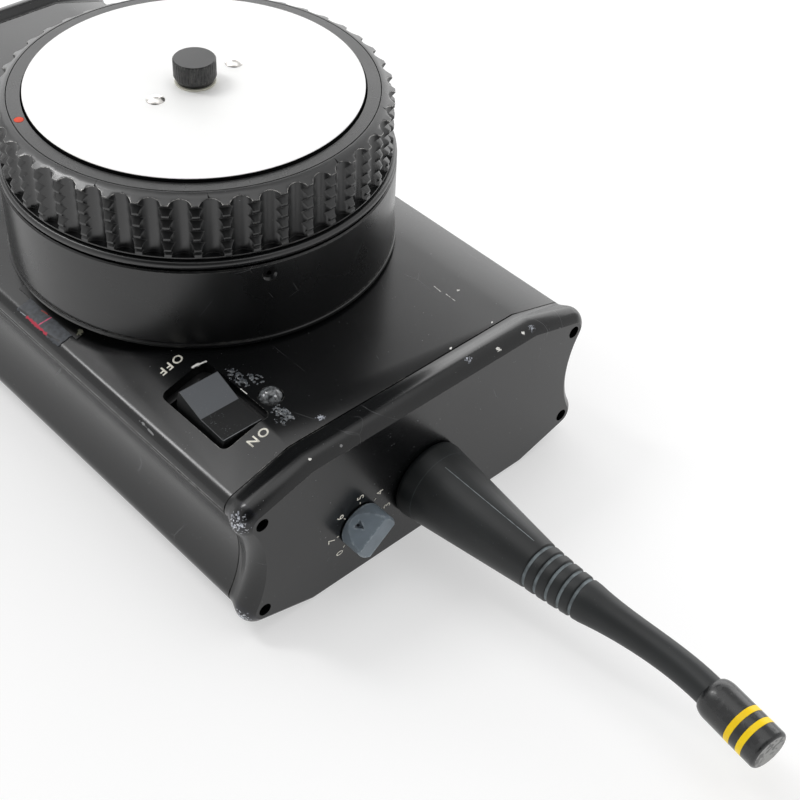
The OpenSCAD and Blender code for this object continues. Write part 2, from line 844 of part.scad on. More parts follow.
module status_lamp() {
    color("#d9d6cf") {
        post(lamp_x, lamp_y, lamp_r, -lamp_foot, -lamp_sink);
        intersection() {
            translate([lamp_x, lamp_y, body_h - lamp_sink]) sphere(r = lamp_r);
            post(lamp_x, lamp_y, lamp_r + 1, -lamp_sink - eps, lamp_r);
        }
        post(lamp_x, lamp_y, lamp_rim_r, -lamp_foot - 1, -lamp_foot + eps);
        for (s = [-1, 1])
            post(lamp_x, lamp_y + s * lead_y, lead_r, -lamp_foot - lead_len, -lamp_foot - 1 + eps);
    }
}

module lamp_holder() {
    color("#161616") difference() {
        post(lamp_x, lamp_y, lamp_rim_r, -lamp_foot + 0.2, -wall);
        post(lamp_x, lamp_y, lamp_r + fit, -lamp_foot - 1, 0);
    }
}

module at_selector() {
    translate([selector_x, 0, selector_z]) children();
}

module channel_switch() {
    plate = face_front + cap_plate;
    color("#23322a") at_selector() difference() {
        union() {
            rod_y(0, 0, selector_body_r, plate, plate + selector_body_l);
            rod_y(0, 0, selector_bush_r, face_front + 0.1, plate + eps);
        }
        rod_y(0, 0, selector_shaft_r + play, face_front - 1, plate + selector_body_l - 2);
    }
}

module channel_switch_nut() {
    y1 = face_front + selector_sink;
    color("#9a9a98") at_selector() translate([0, y1, 0]) rotate([90, 0, 0]) difference() {
        cylinder(r = selector_nut_r, h = selector_sink - air, $fn = 6);
        translate([0, 0, -1]) cylinder(r = selector_bush_r + fit, h = selector_sink + 2);
    }
}

module channel_shaft() {
    color("#b0b0ae") at_selector() rod_y(0, 0, selector_shaft_r, face_front - selector_gap - selector_grip,
        face_front + cap_plate + selector_body_l - 2.3);
}

// One slanted flat runs from the crest down to the knob's rim, seen across the bar.
flat_in = selector_r - selector_bar_t / 2;
flat_drop = selector_h - selector_band;
flat_len = sqrt(flat_in * flat_in + flat_drop * flat_drop);
function on_flat(u) = [selector_bar_t / 2 + u * flat_in, selector_h - u * flat_drop];

module channel_flat() {
    top = on_flat(-0.3);
    foot = on_flat(1.3);
    far = selector_r + 3;
    rotate([90, 0, 0]) linear_extrude(4 * selector_r, center = true)
        polygon([top, foot, [far, foot[1]], [far, top[1]]]);
}

// The pointer is a small triangle sunk into one flat.
module channel_pointer() {
    p = on_flat(0.62);
    translate([p[0], 0, p[1]]) rotate([0, atan2(flat_drop, flat_in), 0]) translate([0, 0, -pointer_sink])
        linear_extrude(2) polygon([[1.1, 0], [-0.7, 0.85], [-0.7, -0.85]]);
}

module channel_knob() {
    base = face_front - selector_gap;
    lip = 0.4;
    color("#66717b") at_selector() difference() {
        translate([0, base, 0]) rotate([90, 0, 0]) difference() {
            rotate_extrude() polygon([
                [0, 0], [selector_r, 0], [selector_r, selector_h - lip],
                [selector_r - lip, selector_h], [0, selector_h]
            ]);
            for (s = [0, 1]) rotate(bar_deg + 90 + 180 * s) channel_flat();
            rotate(bar_deg + 90) channel_pointer();
        }
        rod_y(0, 0, selector_shaft_r + fit, base - selector_grip - 0.2, base + 1);
    }
}

module antenna_jack() {
    color("#9c9c9a") translate([0, 0, antenna_z]) difference() {
        union() {
            rod_y(0, 0, jack_r, face_front - jack_len, cap_in_front + 1.5);
            rod_y(0, 0, jack_flange_r, face_front - 1, face_front);
        }
        rod_y(0, 0, jack_bore_r, face_front - jack_len - 1, face_front - 1.5);
    }
}

module antenna_jack_nut() {
    y1 = face_front + cap_plate;
    color("#8c8c8a") translate([0, y1 + jack_nut_h, antenna_z]) rotate([90, 0, 0]) difference() {
        cylinder(r = jack_flange_r, h = jack_nut_h, $fn = 6);
        translate([0, 0, -1]) cylinder(r = jack_r + fit, h = jack_nut_h + 2);
    }
}

module antenna_plug() {
    color("#9c9c9a") translate([0, 0, antenna_z]) difference() {
        rod_y(0, 0, plug_r, plug_end, plug_y);
        rod_y(0, 0, jack_r + play, face_front - jack_len - 0.6, plug_y + 1);
        rod_y(0, 0, core_r, plug_end - 1, plug_y);
    }
}

// The bend as [length along it, radius]: grooves, neck and the stub that holds the tip.
function heading(run) = let (u = min(run / bend_len, 1)) neck_bow * sin(180 * u) - tip_turn * pow(u, 4);
function groove_runs(i) = let (
    run = i * ring_pitch,
    r = boot_end_r + (neck_start_r - boot_end_r) * i / ring_count
) [[run, r], [run + 0.3, r - ring_cut], [run + 0.9, r - ring_cut], [run + 1.2, r - 0.1]];
function neck_run(i) = let (u = i / neck_steps)
    [bend_len - neck_len * (1 - u), neck_r + (neck_start_r - neck_r) * pow(1 - u, 4)];
stub_runs = [[bend_len + fit, stub_r], [bend_len + tip_grip - 0.1, stub_r]];
bend_runs = concat(
    [for (i = [0:ring_count - 1]) each groove_runs(i)],
    [for (i = [0:neck_steps]) neck_run(i)],
    stub_runs
);
neck_end = len(bend_runs) - len(stub_runs) - 1;
function bend_point(i) = i == 0 ? [ring_y, 0] : let (
    step = bend_runs[i][0] - bend_runs[i - 1][0],
    h = heading(bend_runs[i - 1][0] + step / 2)
) bend_point(i - 1) + step * [-cos(h), sin(h)];
function bend_ring(i) = let (p = bend_point(i)) [p[0], p[1], heading(bend_runs[i][0]), bend_runs[i][1]];

// The sleeve's rings as [y, z, heading, radius], with the bend upright.
sleeve_rings = concat(
    [[boot_y, 0, 0, boot_r - 0.5], [boot_y - 0.5, 0, 0, boot_r - 0.05], [boot_y - 1.2, 0, 0, boot_r]],
    [for (i = [0:len(bend_runs) - 1]) bend_ring(i)]
);
sleeve_points = [for (s = sleeve_rings) for (j = [0:sleeve_sides - 1])
    let (a = 360 * j / sleeve_sides, v = s[3] * sin(a))
    [s[3] * cos(a), s[0] + v * sin(s[2]), s[1] + v * cos(s[2])]];

module antenna_sleeve() {
    color("#252627") translate([0, 0, antenna_z]) difference() {
        rotate([0, bow_side, 0]) polyhedron(sleeve_points, skin_faces(len(sleeve_rings), sleeve_sides));
        rod_y(0, 0, jack_flange_r + air, plug_y, boot_y + 1);
        rod_y(0, 0, plug_r + fit, plug_end - fit, boot_y);
        rod_y(0, 0, core_r + fit, neck_y, boot_y);
    }
}

module antenna_core() {
    color("#b08a4a") rod_y(0, antenna_z, core_r - fit, neck_y + 0.3, plug_end + 1.2);
}

// The tip's own axis, from the neck's end outwards.
module at_tip() {
    p = bend_point(neck_end);
    translate([0, 0, antenna_z]) rotate([0, bow_side, 0])
        translate([0, p[0], p[1]]) rotate([90 + tip_turn, 0, 0]) children();
}

band_at = [7.75, 10.75];
band_w = 1.3;
band_cut = 0.4;
module band_rings(r0, r1) {
    for (b = band_at) translate([0, 0, b]) difference() {
        cylinder(r = r1, h = band_w);
        translate([0, 0, -1]) cylinder(r = r0, h = band_w + 2);
    }
}

module antenna_tip() {
    nose = 0.75;
    shoulder = 2.6;
    foot_r = neck_r + 0.1;
    gap = 0.05;
    color("#232425") at_tip() difference() {
        rotate_extrude() polygon(concat(
            [[0, gap]],
            [for (a = [0:15:90]) [foot_r + (tip_r - foot_r) * sin(a), gap + shoulder * (1 - cos(a))]],
            [for (a = [0:15:90]) on_arc(tip_r - nose, tip_len - nose, nose, a)],
            [[0, tip_len]]
        ));
        translate([0, 0, -1]) cylinder(r = stub_r + play, h = tip_grip + 1);
        band_rings(tip_r - band_cut, tip_r + 1);
    }
}

module tip_bands() {
    color("#f2c21a") at_tip() band_rings(tip_r - band_cut + fit, tip_r + 0.03);
}

module power_inlet() {
    y1 = face_rear + inlet_flange_t;
    color("#9c9c9a") translate([inlet_x, 0, inlet_z]) difference() {
        union() {
            rod_y(0, 0, inlet_flange_r, face_rear, y1);
            rod_y(0, 0, inlet_r, inlet_back, face_rear + eps);
        }
        rod_y(0, 0, inlet_bore_r, y1 - inlet_depth, y1 + 1);
        rod_y(0, 0, inlet_core_r, inlet_back - 1, y1);
    }
}

module inlet_insulator() {
    y1 = face_rear + inlet_flange_t - inlet_depth;
    color("#1a1a1b") translate([inlet_x, 0, inlet_z]) difference() {
        rod_y(0, 0, inlet_core_r - fit, inlet_back, y1);
        for (s = [-1, 1]) rod_y(contact_x * s, 0, contact_r, inlet_back - 1, y1 + 1);
    }
}

module inlet_contacts() {
    y1 = face_rear + inlet_flange_t - inlet_depth;
    color("#c8a14a") translate([inlet_x, 0, inlet_z]) for (s = [-1, 1]) difference() {
        rod_y(contact_x * s, 0, contact_r - fit, inlet_back - contact_tail, y1 - air);
        rod_y(contact_x * s, 0, contact_bore_r, y1 - contact_tail, y1 + 1);
    }
}

module inlet_nut() {
    y0 = face_rear - cap_plate;
    color("#8c8c8a") translate([inlet_x, y0, inlet_z]) rotate([90, 0, 0]) difference() {
        cylinder(r = inlet_nut_r, h = inlet_nut_h, $fn = 6);
        translate([0, 0, -1]) cylinder(r = inlet_r + fit, h = inlet_nut_h + 2);
    }
}

module at_board_holes() {
    for (sx = [-1, 1], y = [board_y[0] + board_hole[1], board_y[1] - board_hole[1]])
        translate([sx * board_hole[0], y, 0]) children();
}

module main_board() {
    color("#2f5d3a") difference() {
        translate([-board_half_x, board_y[0], board_z])
            cube([2 * board_half_x, board_y[1] - board_y[0], board_t]);
        at_board_holes() translate([0, 0, board_z - 1]) cylinder(r = board_screw_r + 0.2, h = board_t + 2);
    }
}

module board_standoffs() {
    color("#a8a8a6") at_board_holes() difference() {
        translate([0, 0, wall]) cylinder(r = standoff_r, h = board_z - wall);
        translate([0, 0, wall + 1]) cylinder(r = board_screw_r, h = board_z);
    }
}

module board_screws() {
    color("#8c8c8a") at_board_holes() {
        translate([0, 0, wall + 2])
            cylinder(r = board_screw_r - fit, h = board_z + board_t - wall - 2 + eps);
        translate([0, 0, board_z + board_t]) cylinder(r = board_head_r, h = board_head_h);
    }
}

module radio_module() {
    color("#b8bab8") translate([-radio_size[0] / 2, board_y[0] + radio_inset, board_z + board_t])
        cube(radio_size);
}

// Marking tape on the left shoulder beside the drum.
tape_size = [4.7, 20];
tape_t = 0.15;
tape_y = -10.5;
module marking_tape() {
    x0 = -lobe_x - 0.8;
    z0 = body_h - (-x0 - top_half) * tan(slope_deg) + 0.02;
    color("#1b1b1c") translate([x0, tape_y, z0]) rotate([0, -slope_deg, 0])
        cube([tape_size[0], tape_size[1], tape_t]);
}

lower_shell();
top_cover();
front_cap();
rear_cap();
front_gasket();
rear_gasket();
front_cap_screws();
rear_cap_screws();
knob_drum();
drum_screws();
drum_set_screw();
wheel_bushes();
thrust_washer();
focus_wheel();
index_ring();
index_dot();
drive_gear();
stop_pin();
stop_block();
disc_post();
post_screws();
disc_carrier();
marking_disc();
locating_pins();
nut_washer();
thumb_nut();
encoder_body();
encoder_nut();
encoder_shaft();
drive_pinion();
switch_housing();
switch_terminals();
rocker_pivot();
rocker_button();
status_lamp();
lamp_holder();
channel_switch();
channel_switch_nut();
channel_shaft();
channel_knob();
antenna_jack();
antenna_jack_nut();
antenna_plug();
antenna_sleeve();
antenna_core();
antenna_tip();
tip_bands();
power_inlet();
inlet_insulator();
inlet_contacts();
inlet_nut();
main_board();
board_standoffs();
board_screws();
radio_module();
marking_tape();
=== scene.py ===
"""Looks of a wireless lens-control hand unit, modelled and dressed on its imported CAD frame."""

import json
import logging
import math
from dataclasses import dataclass, replace
from enum import Enum
from typing import Sequence

import bpy
from mathutils import Matrix, Vector


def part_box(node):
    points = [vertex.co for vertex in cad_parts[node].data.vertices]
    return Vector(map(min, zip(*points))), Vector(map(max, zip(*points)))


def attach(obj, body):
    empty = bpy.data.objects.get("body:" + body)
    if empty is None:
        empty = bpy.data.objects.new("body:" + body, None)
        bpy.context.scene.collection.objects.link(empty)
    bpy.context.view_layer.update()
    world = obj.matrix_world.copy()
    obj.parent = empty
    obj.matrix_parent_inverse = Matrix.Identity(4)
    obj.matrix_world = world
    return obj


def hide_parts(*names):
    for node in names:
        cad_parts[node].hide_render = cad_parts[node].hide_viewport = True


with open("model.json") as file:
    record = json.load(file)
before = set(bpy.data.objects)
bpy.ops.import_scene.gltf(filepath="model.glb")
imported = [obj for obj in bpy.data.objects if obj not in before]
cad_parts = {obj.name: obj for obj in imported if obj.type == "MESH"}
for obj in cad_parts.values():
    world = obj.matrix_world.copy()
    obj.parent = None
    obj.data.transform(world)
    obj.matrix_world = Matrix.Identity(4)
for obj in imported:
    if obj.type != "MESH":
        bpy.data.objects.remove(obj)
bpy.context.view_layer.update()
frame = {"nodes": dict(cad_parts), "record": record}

LOG = logging.getLogger("hand_unit")
MM = 0.001
WELD = 1e-6
Point2 = tuple[float, float]
Point3 = tuple[float, float, float]
Tree = bpy.types.NodeTree
Node = bpy.types.Node
Socket = bpy.types.NodeSocket
Piece = bpy.types.Object
Inputs = dict[int | str, object]


def linear(code: str, gain: float = 1.0) -> tuple[float, float, float, float]:
    """Turn an sRGB hex colour into linear colour.

    Args:
        code: The colour as six hex digits after a hash.
        gain: Factor on the linear colour.

    Returns:
        Red, green, blue and an alpha of one.
    """
    parts = [int(code[i:i + 2], 16) / 255 for i in (1, 3, 5)]
    curve = [c / 12.92 if c <= 0.04045 else ((c + 0.055) / 1.055) ** 2.4 for c in parts]
    return (*(min(1.0, c * gain) for c in curve), 1.0)


def add(tree: Tree, kind: str, inputs: Inputs | None = None, **settings: object) -> Node:
    """Add one shader node.

    Args:
        tree: The node tree that takes it.
        kind: The node's type, without the common prefix.
        inputs: Input name or number to a value, a node or a node's output.
        settings: The node's own settings by name.

    Returns:
        The new node.
    """
    node = tree.nodes.new("ShaderNode" + kind)
    for key, value in settings.items():
        setattr(node, key, value)
    for key, value in (inputs or {}).items():
        if isinstance(value, Node):
            value = value.outputs[0]
        if isinstance(value, Socket):
            tree.links.new(value, node.inputs[key])
        else:
            node.inputs[key].default_value = value
    return node


@dataclass(frozen=True)
class Layer:
    """Something that lies on a finish, or that shows where the finish has gone."""

    colour: str
    roughness: float
    metallic: float

    def mask(self, tree: Tree, at: Socket) -> Node:
        """Where the layer shows, from 0 to 1."""
        raise NotImplementedError


@dataclass(frozen=True)
class Hairlines(Layer):
    """Fine straight scratches that come and go, cell_mm apart."""

    cell_mm: float = 15.0
    amount: float = 0.5
    line: float = 0.006
    drawn_out: Point3 = (1.0, 0.4, 1.0)
    clouds_per_cell: float = 1.4
    kept: Point2 = (0.56, 0.66)

    def mask(self, tree: Tree, at: Socket) -> Node:
        """Thin cell borders, kept only in some places.

        Args:
            tree: The material's nodes.
            at: The place on the piece.

        Returns:
            The share of the layer, from 0 to 1.
        """
        drawn = add(tree, "VectorMath", {0: at, 1: self.drawn_out}, operation="MULTIPLY")
        cells = add(tree, "TexVoronoi", {"Vector": drawn, "Scale": 1 / (self.cell_mm * MM)},
                    feature="DISTANCE_TO_EDGE")
        thin = add(tree, "MapRange", {0: cells.outputs["Distance"], 1: 0.0, 2: self.line, 3: 1.0, 4: 0.0})
        scale = self.clouds_per_cell / (self.cell_mm * MM)
        cloud = add(tree, "TexNoise", {"Vector": at, "Scale": scale, "Detail": 2.0})
        here = add(tree, "MapRange", {0: cloud, 1: self.kept[0], 2: self.kept[1], 3: 0.0, 4: self.amount})
        return add(tree, "Math", {0: thin, 1: here}, operation="MULTIPLY")


@dataclass(frozen=True)
class Specks(Layer):
    """Dust, tiny chips and painted glints, size_mm across, gathered in clouds."""

    size_mm: float = 0.45
    amount: float = 0.55
    rarity: float = 0.74
    sharp: float = 0.05
    clouds_per_speck: float = 0.07
    kept: Point2 = (0.46, 0.6)

    def mask(self, tree: Tree, at: Socket) -> Node:
        """Peaks of a fine noise inside the peaks of a broad one.

        Args:
            tree: The material's nodes.
            at: The place on the piece.

        Returns:
            The share of the layer, from 0 to 1.
        """
        fine = add(tree, "TexNoise", {"Vector": at, "Scale": 1 / (self.size_mm * MM), "Detail": 1.0})
        dots = add(tree, "MapRange", {0: fine, 1: self.rarity, 2: self.rarity + self.sharp})
        scale = self.clouds_per_speck / (self.size_mm * MM)
        cloud = add(tree, "TexNoise", {"Vector": at, "Scale": scale, "Detail": 2.0})
        here = add(tree, "MapRange", {0: cloud, 1: self.kept[0], 2: self.kept[1], 3: 0.0, 4: self.amount})
        return add(tree, "Math", {0: dots, 1: here}, operation="MULTIPLY")


@dataclass(frozen=True)
class WornEdges(Layer):
    """Edges rubbed through, or on the selector painted paler as highlights, over reach_mm, more in some
    places than in others and only between two heights.
    """

    reach_mm: float = 0.3
    amount: float = 0.8
    place_mm: float = 16.0
    start: float = 0.42
    rise_mm: Point2 = (-1.0, 0.0)
    fall_mm: Point2 = (200.0, 201.0)
    bend: Point2 = (0.992, 0.93)
    bits_per_mm: float = 1.1
    bits: Point2 = (0.42, 0.58)
    fade: float = 0.18

    def mask(self, tree: Tree, at: Socket) -> Node:
        """Where a rounded normal leaves the true one, broken up by noise.

        Args:
            tree: The material's nodes.
            at: The place on the piece.

        Returns:
            The share of the layer, from 0 to 1.
        """
        soft = add(tree, "Bevel", {"Radius": self.reach_mm * MM}, samples=6)
        true = add(tree, "NewGeometry").outputs["Normal"]
        turn = add(tree, "VectorMath", {0: soft, 1: true}, operation="DOT_PRODUCT").outputs["Value"]
        edge = add(tree, "MapRange", {0: turn, 1: self.bend[0], 2: self.bend[1]})
        fine = add(tree, "TexNoise", {"Vector": at, "Scale": self.bits_per_mm / MM, "Detail": 4.0})
        bits = add(tree, "MapRange", {0: fine, 1: self.bits[0], 2: self.bits[1]})
        cloud = add(tree, "TexNoise", {"Vector": at, "Scale": 1 / (self.place_mm * MM), "Detail": 2.0})
        ends = {1: self.start, 2: self.start + self.fade, 3: 0.0, 4: self.amount}
        here = add(tree, "MapRange", {0: cloud, **ends})
        part = add(tree, "Math", {0: bits, 1: here}, operation="MULTIPLY")
        high = add(tree, "SeparateXYZ", {0: at}).outputs["Z"]
        risen = add(tree, "MapRange", {0: high, 1: self.rise_mm[0] * MM, 2: self.rise_mm[1] * MM})
        fallen = add(tree, "MapRange", {0: high, 1: self.fall_mm[1] * MM, 2: self.fall_mm[0] * MM})
        for share in (risen, fallen, edge):
            part = add(tree, "Math", {0: part, 1: share}, operation="MULTIPLY")
        return part


@dataclass(frozen=True)
class Patch(Layer):
    """A place, round middle in millimetres, where something has stuck or the finish has broken away, or where
    a glint or shade is painted.
    """

    middle: Point3 = (0.0, 0.0, 0.0)
    radius: float = 1.0
    cover: float = 0.5
    crumb_mm: float = 0.8
    densest: float = 0.4
    crumbs: Point2 = (0.3, 0.7)
    rim: Point2 = (0.3, 0.4)

    def mask(self, tree: Tree, at: Socket) -> Node:
        """Crumbs that thin out with the distance from the middle.

        Args:
            tree: The material's nodes.
            at: The place on the piece.

        Returns:
            The share of the layer, from 0 to 1.
        """
        middle = tuple(c * MM for c in self.middle)
        off = add(tree, "VectorMath", {0: at, 1: middle}, operation="SUBTRACT")
        far = add(tree, "VectorMath", {0: off}, operation="LENGTH").outputs["Value"]
        ends = {1: 0.0, 2: self.radius * MM, 3: self.densest + self.cover, 4: 0.0}
        near = add(tree, "MapRange", {0: far, **ends})
        noise = add(tree, "TexNoise", {"Vector": at, "Scale": 1 / (self.crumb_mm * MM), "Detail": 4.0})
        crumbs = add(tree, "MapRange", {0: noise, 1: self.crumbs[0], 2: self.crumbs[1]})
        both = add(tree, "Math", {0: near, 1: crumbs}, operation="MULTIPLY")
        return add(tree, "MapRange", {0: both, 1: self.rim[0], 2: self.rim[1]})


@dataclass(frozen=True)
class Stroke(Layer):
    """A drawn, moulded or scratched line from start to end, in millimetres, with broken edges; some strokes
    are painted highlights and shade.
    """

    start: Point3 = (0.0, 0.0, 0.0)
    end: Point3 = (1.0, 0.0, 0.0)
    width: float = 0.2
    broken: float = 0.5
    waves_per_mm: float = 0.9
    waves: Point2 = (0.3, 0.7)
    soft: float = 0.4

    def mask(self, tree: Tree, at: Socket) -> Node:
        """Distance from the line, made uneven by noise.

        Args:
            tree: The material's nodes.
            at: The place on the piece.

        Returns:
            The share of the layer, from 0 to 1.
        """
        run = (Vector(self.end) - Vector(self.start)) * MM
        off = add(tree, "VectorMath", {0: at, 1: Vector(self.start) * MM}, operation="SUBTRACT")
        share = add(tree, "VectorMath", {0: off, 1: run / run.length_squared}, operation="DOT_PRODUCT")
        part = add(tree, "MapRange", {0: share.outputs["Value"]})
        foot = add(tree, "VectorMath", {0: run, "Scale": part}, operation="SCALE")
        gap = add(tree, "VectorMath", {0: off, 1: foot}, operation="SUBTRACT")
        far = add(tree, "VectorMath", {0: gap}, operation="LENGTH").outputs["Value"]
        noise = add(tree, "TexNoise", {"Vector": at, "Scale": self.waves_per_mm / MM, "Detail": 3.0})
        rim = self.width / 2 * MM
        ends = {1: self.waves[0], 2: self.waves[1], 3: rim, 4: rim * (1 - self.broken)}
        edge = add(tree, "MapRange", {0: noise, **ends})
        rest = add(tree, "Math", {0: edge, 1: far}, operation="SUBTRACT")
        return add(tree, "MapRange", {0: rest, 1: 0.0, 2: rim * self.soft})


@dataclass(frozen=True)
class RingDust(Layer):
    """Dust in evenly spaced grooves round the Y axis.

    start and share tell where in a pitch a groove lies, and lean how far the grooves turn to the side
    for each millimetre along.
    """

    first_mm: float = 0.0
    pitch_mm: float = 1.0
    count: int = 1
    start: float = 0.0
    share: float = 0.3
    amount: float = 0.8
    lean: float = 0.0
    clouds_per_mm: float = 0.45
    clouds: Point2 = (0.3, 0.6)
    least: float = 0.35

    def mask(self, tree: Tree, at: Socket) -> Node:
        """Steps along Y, kept inside the grooves and broken up by noise.

        Args:
            tree: The material's nodes.
            at: The place on the piece.

        Returns:
            The share of the layer, from 0 to 1.
        """
        parts = add(tree, "SeparateXYZ", {0: at})
        past = add(tree, "Math", {0: parts.outputs["Y"], 1: self.first_mm * MM}, operation="SUBTRACT")
        skew = add(tree, "Math", {0: past, 1: parts.outputs["X"]}, operation="MULTIPLY")
        ends = {0: skew, 1: self.lean / MM, 2: parts.outputs["Y"]}
        along = add(tree, "Math", ends, operation="MULTIPLY_ADD")
        last = self.first_mm - self.pitch_mm * self.count
        ends = {1: self.first_mm * MM, 2: last * MM, 3: 0.0, 4: float(self.count)}
        steps = add(tree, "MapRange", {0: along, **ends}, clamp=False)
        part = add(tree, "Math", {0: steps}, operation="FRACT")
        wide = self.share / 2
        groove = add(tree, "Math", {0: part, 1: self.start + wide, 2: wide}, operation="COMPARE")
        half = self.count / 2
        inside = add(tree, "Math", {0: steps, 1: half, 2: half}, operation="COMPARE")
        cloud = add(tree, "TexNoise", {"Vector": at, "Scale": self.clouds_per_mm / MM, "Detail": 4.0})
        ends = {1: self.clouds[0], 2: self.clouds[1], 3: self.least * self.amount, 4: self.amount}
        here = add(tree, "MapRange", {0: cloud, **ends})
        both = add(tree, "Math", {0: groove, 1: inside}, operation="MULTIPLY")
        return add(tree, "Math", {0: both, 1: here}, operation="MULTIPLY")


@dataclass(frozen=True)
class Facing(Layer):
    """Colour on the faces that look toward a direction, from the first share of it to the second: wear on the
    tip's end and painted light on the rocker.
    """

    toward: Point3 = (0.0, 0.0, 1.0)
    shares: Point2 = (0.9, 0.98)
    amount: float = 1.0

    def mask(self, tree: Tree, at: Socket) -> Node:
        """How far the surface looks that way.

        Args:
            tree: The material's nodes.
            at: The place on the piece.

        Returns:
            The share of the layer, from 0 to 1.
        """
        out = add(tree, "TexCoord").outputs["Normal"]
        way = Vector(self.toward).normalized()
        look = add(tree, "VectorMath", {0: out, 1: way}, operation="DOT_PRODUCT")
        ends = {1: self.shares[0], 2: self.shares[1], 3: 0.0, 4: self.amount}
        return add(tree, "MapRange", {0: look.outputs["Value"], **ends})


@dataclass(frozen=True)
class Core(Layer):
    """The core of a laminate, which shows below a height."""

    below_mm: float = 0.0

    def mask(self, tree: Tree, at: Socket) -> Node:
        """Everything under the height."""
        high = add(tree, "SeparateXYZ", {0: at}).outputs["Z"]
        return add(tree, "Math", {0: high, 1: self.below_mm * MM}, operation="LESS_THAN")


@dataclass(frozen=True)
class Finish:
    """A procedural surface. Pattern sizes are in millimetres, and deep is the height of its grain."""

    name: str
    colour: str
    roughness: float
    metallic: float = 0.0
    specular: float = 0.5
    mottle: float = 0.15
    mottle_mm: float = 12.0
    smear: float = 0.06
    smear_mm: float = 18.0
    grain_mm: float = 0.3
    deep: float = 0.006
    turned_mm: float = 0.0
    clear: float = 0.0
    layers: tuple[Layer, ...] = ()
    clouds: Point2 = (0.35, 0.65)
    smears: Point2 = (0.3, 0.7)

    def material(self) -> bpy.types.Material:
        """Make the material, or find the one that was made before.

        Returns:
            The material of this finish.
        """
        made = bpy.data.materials.get(self.name)
        if made is None:
            made = bpy.data.materials.new(self.name)
            made.use_nodes = True
            made.node_tree.nodes.clear()
            self._grow(made.node_tree)
        return made

    def _grow(self, tree: Tree) -> None:
        """Lay base colour, smears, grain and layers over one another.

        Args:
            tree: The material's empty node tree.
        """
        at = add(tree, "TexCoord").outputs["Object"]
        cloud = add(tree, "TexNoise", {"Vector": at, "Scale": 1 / (self.mottle_mm * MM), "Detail": 4.0})
        share = add(tree, "MapRange", {0: cloud, 1: self.clouds[0], 2: self.clouds[1]})
        dark, light = (linear(self.colour, 1 + change) for change in (-self.mottle, self.mottle))
        colour = add(tree, "Mix", {0: share, 6: dark, 7: light}, data_type="RGBA").outputs[2]
        smears = add(tree, "TexNoise", {"Vector": at, "Scale": 1 / (self.smear_mm * MM), "Detail": 5.0})
        ends = {3: self.roughness - self.smear, 4: self.roughness + self.smear}
        rough = add(tree, "MapRange", {0: smears, 1: self.smears[0], 2: self.smears[1], **ends})
        metal: object = self.metallic
        for layer in self.layers:
            mask = layer.mask(tree, at)
            coats = {0: mask, 6: colour, 7: linear(layer.colour)}
            colour = add(tree, "Mix", coats, data_type="RGBA").outputs[2]
            rough = add(tree, "Mix", {0: mask, 2: rough, 3: layer.roughness})
            if layer.metallic != self.metallic:
                metal = add(tree, "Mix", {0: mask, 2: metal, 3: layer.metallic})
        normal = add(tree, "Bump", {"Height": self._relief(tree, at), "Distance": self.deep * MM})
        surface = add(tree, "BsdfPrincipled", {
            "Base Color": colour, "Roughness": rough, "Metallic": metal, "Normal": normal,
            "Specular IOR Level": self.specular, "Transmission Weight": self.clear,
        })
        add(tree, "OutputMaterial", {"Surface": surface})

    def _relief(self, tree: Tree, at: Socket) -> Node:
        """Fine grain, with lathe rings about the upright axis on turned pieces.

        Args:
            tree: The material's nodes.
            at: The place on the piece.

        Returns:
            The height of the relief.
        """
        grain = add(tree, "TexNoise", {"Vector": at, "Scale": 1 / (self.grain_mm * MM), "Detail": 2.0})
        if not self.turned_mm:
            return grain
        flat = add(tree, "VectorMath", {0: at, 1: (1.0, 1.0, 0.0)}, operation="MULTIPLY")
        radius = add(tree, "VectorMath", {0: flat}, operation="LENGTH").outputs["Value"]
        turns = add(tree, "Math", {0: radius, 1: math.tau / (self.turned_mm * MM)}, operation="MULTIPLY")
        wave = add(tree, "Math", {0: turns}, operation="SINE")
        return add(tree, "Math", {0: grain, 1: wave}, operation="ADD")


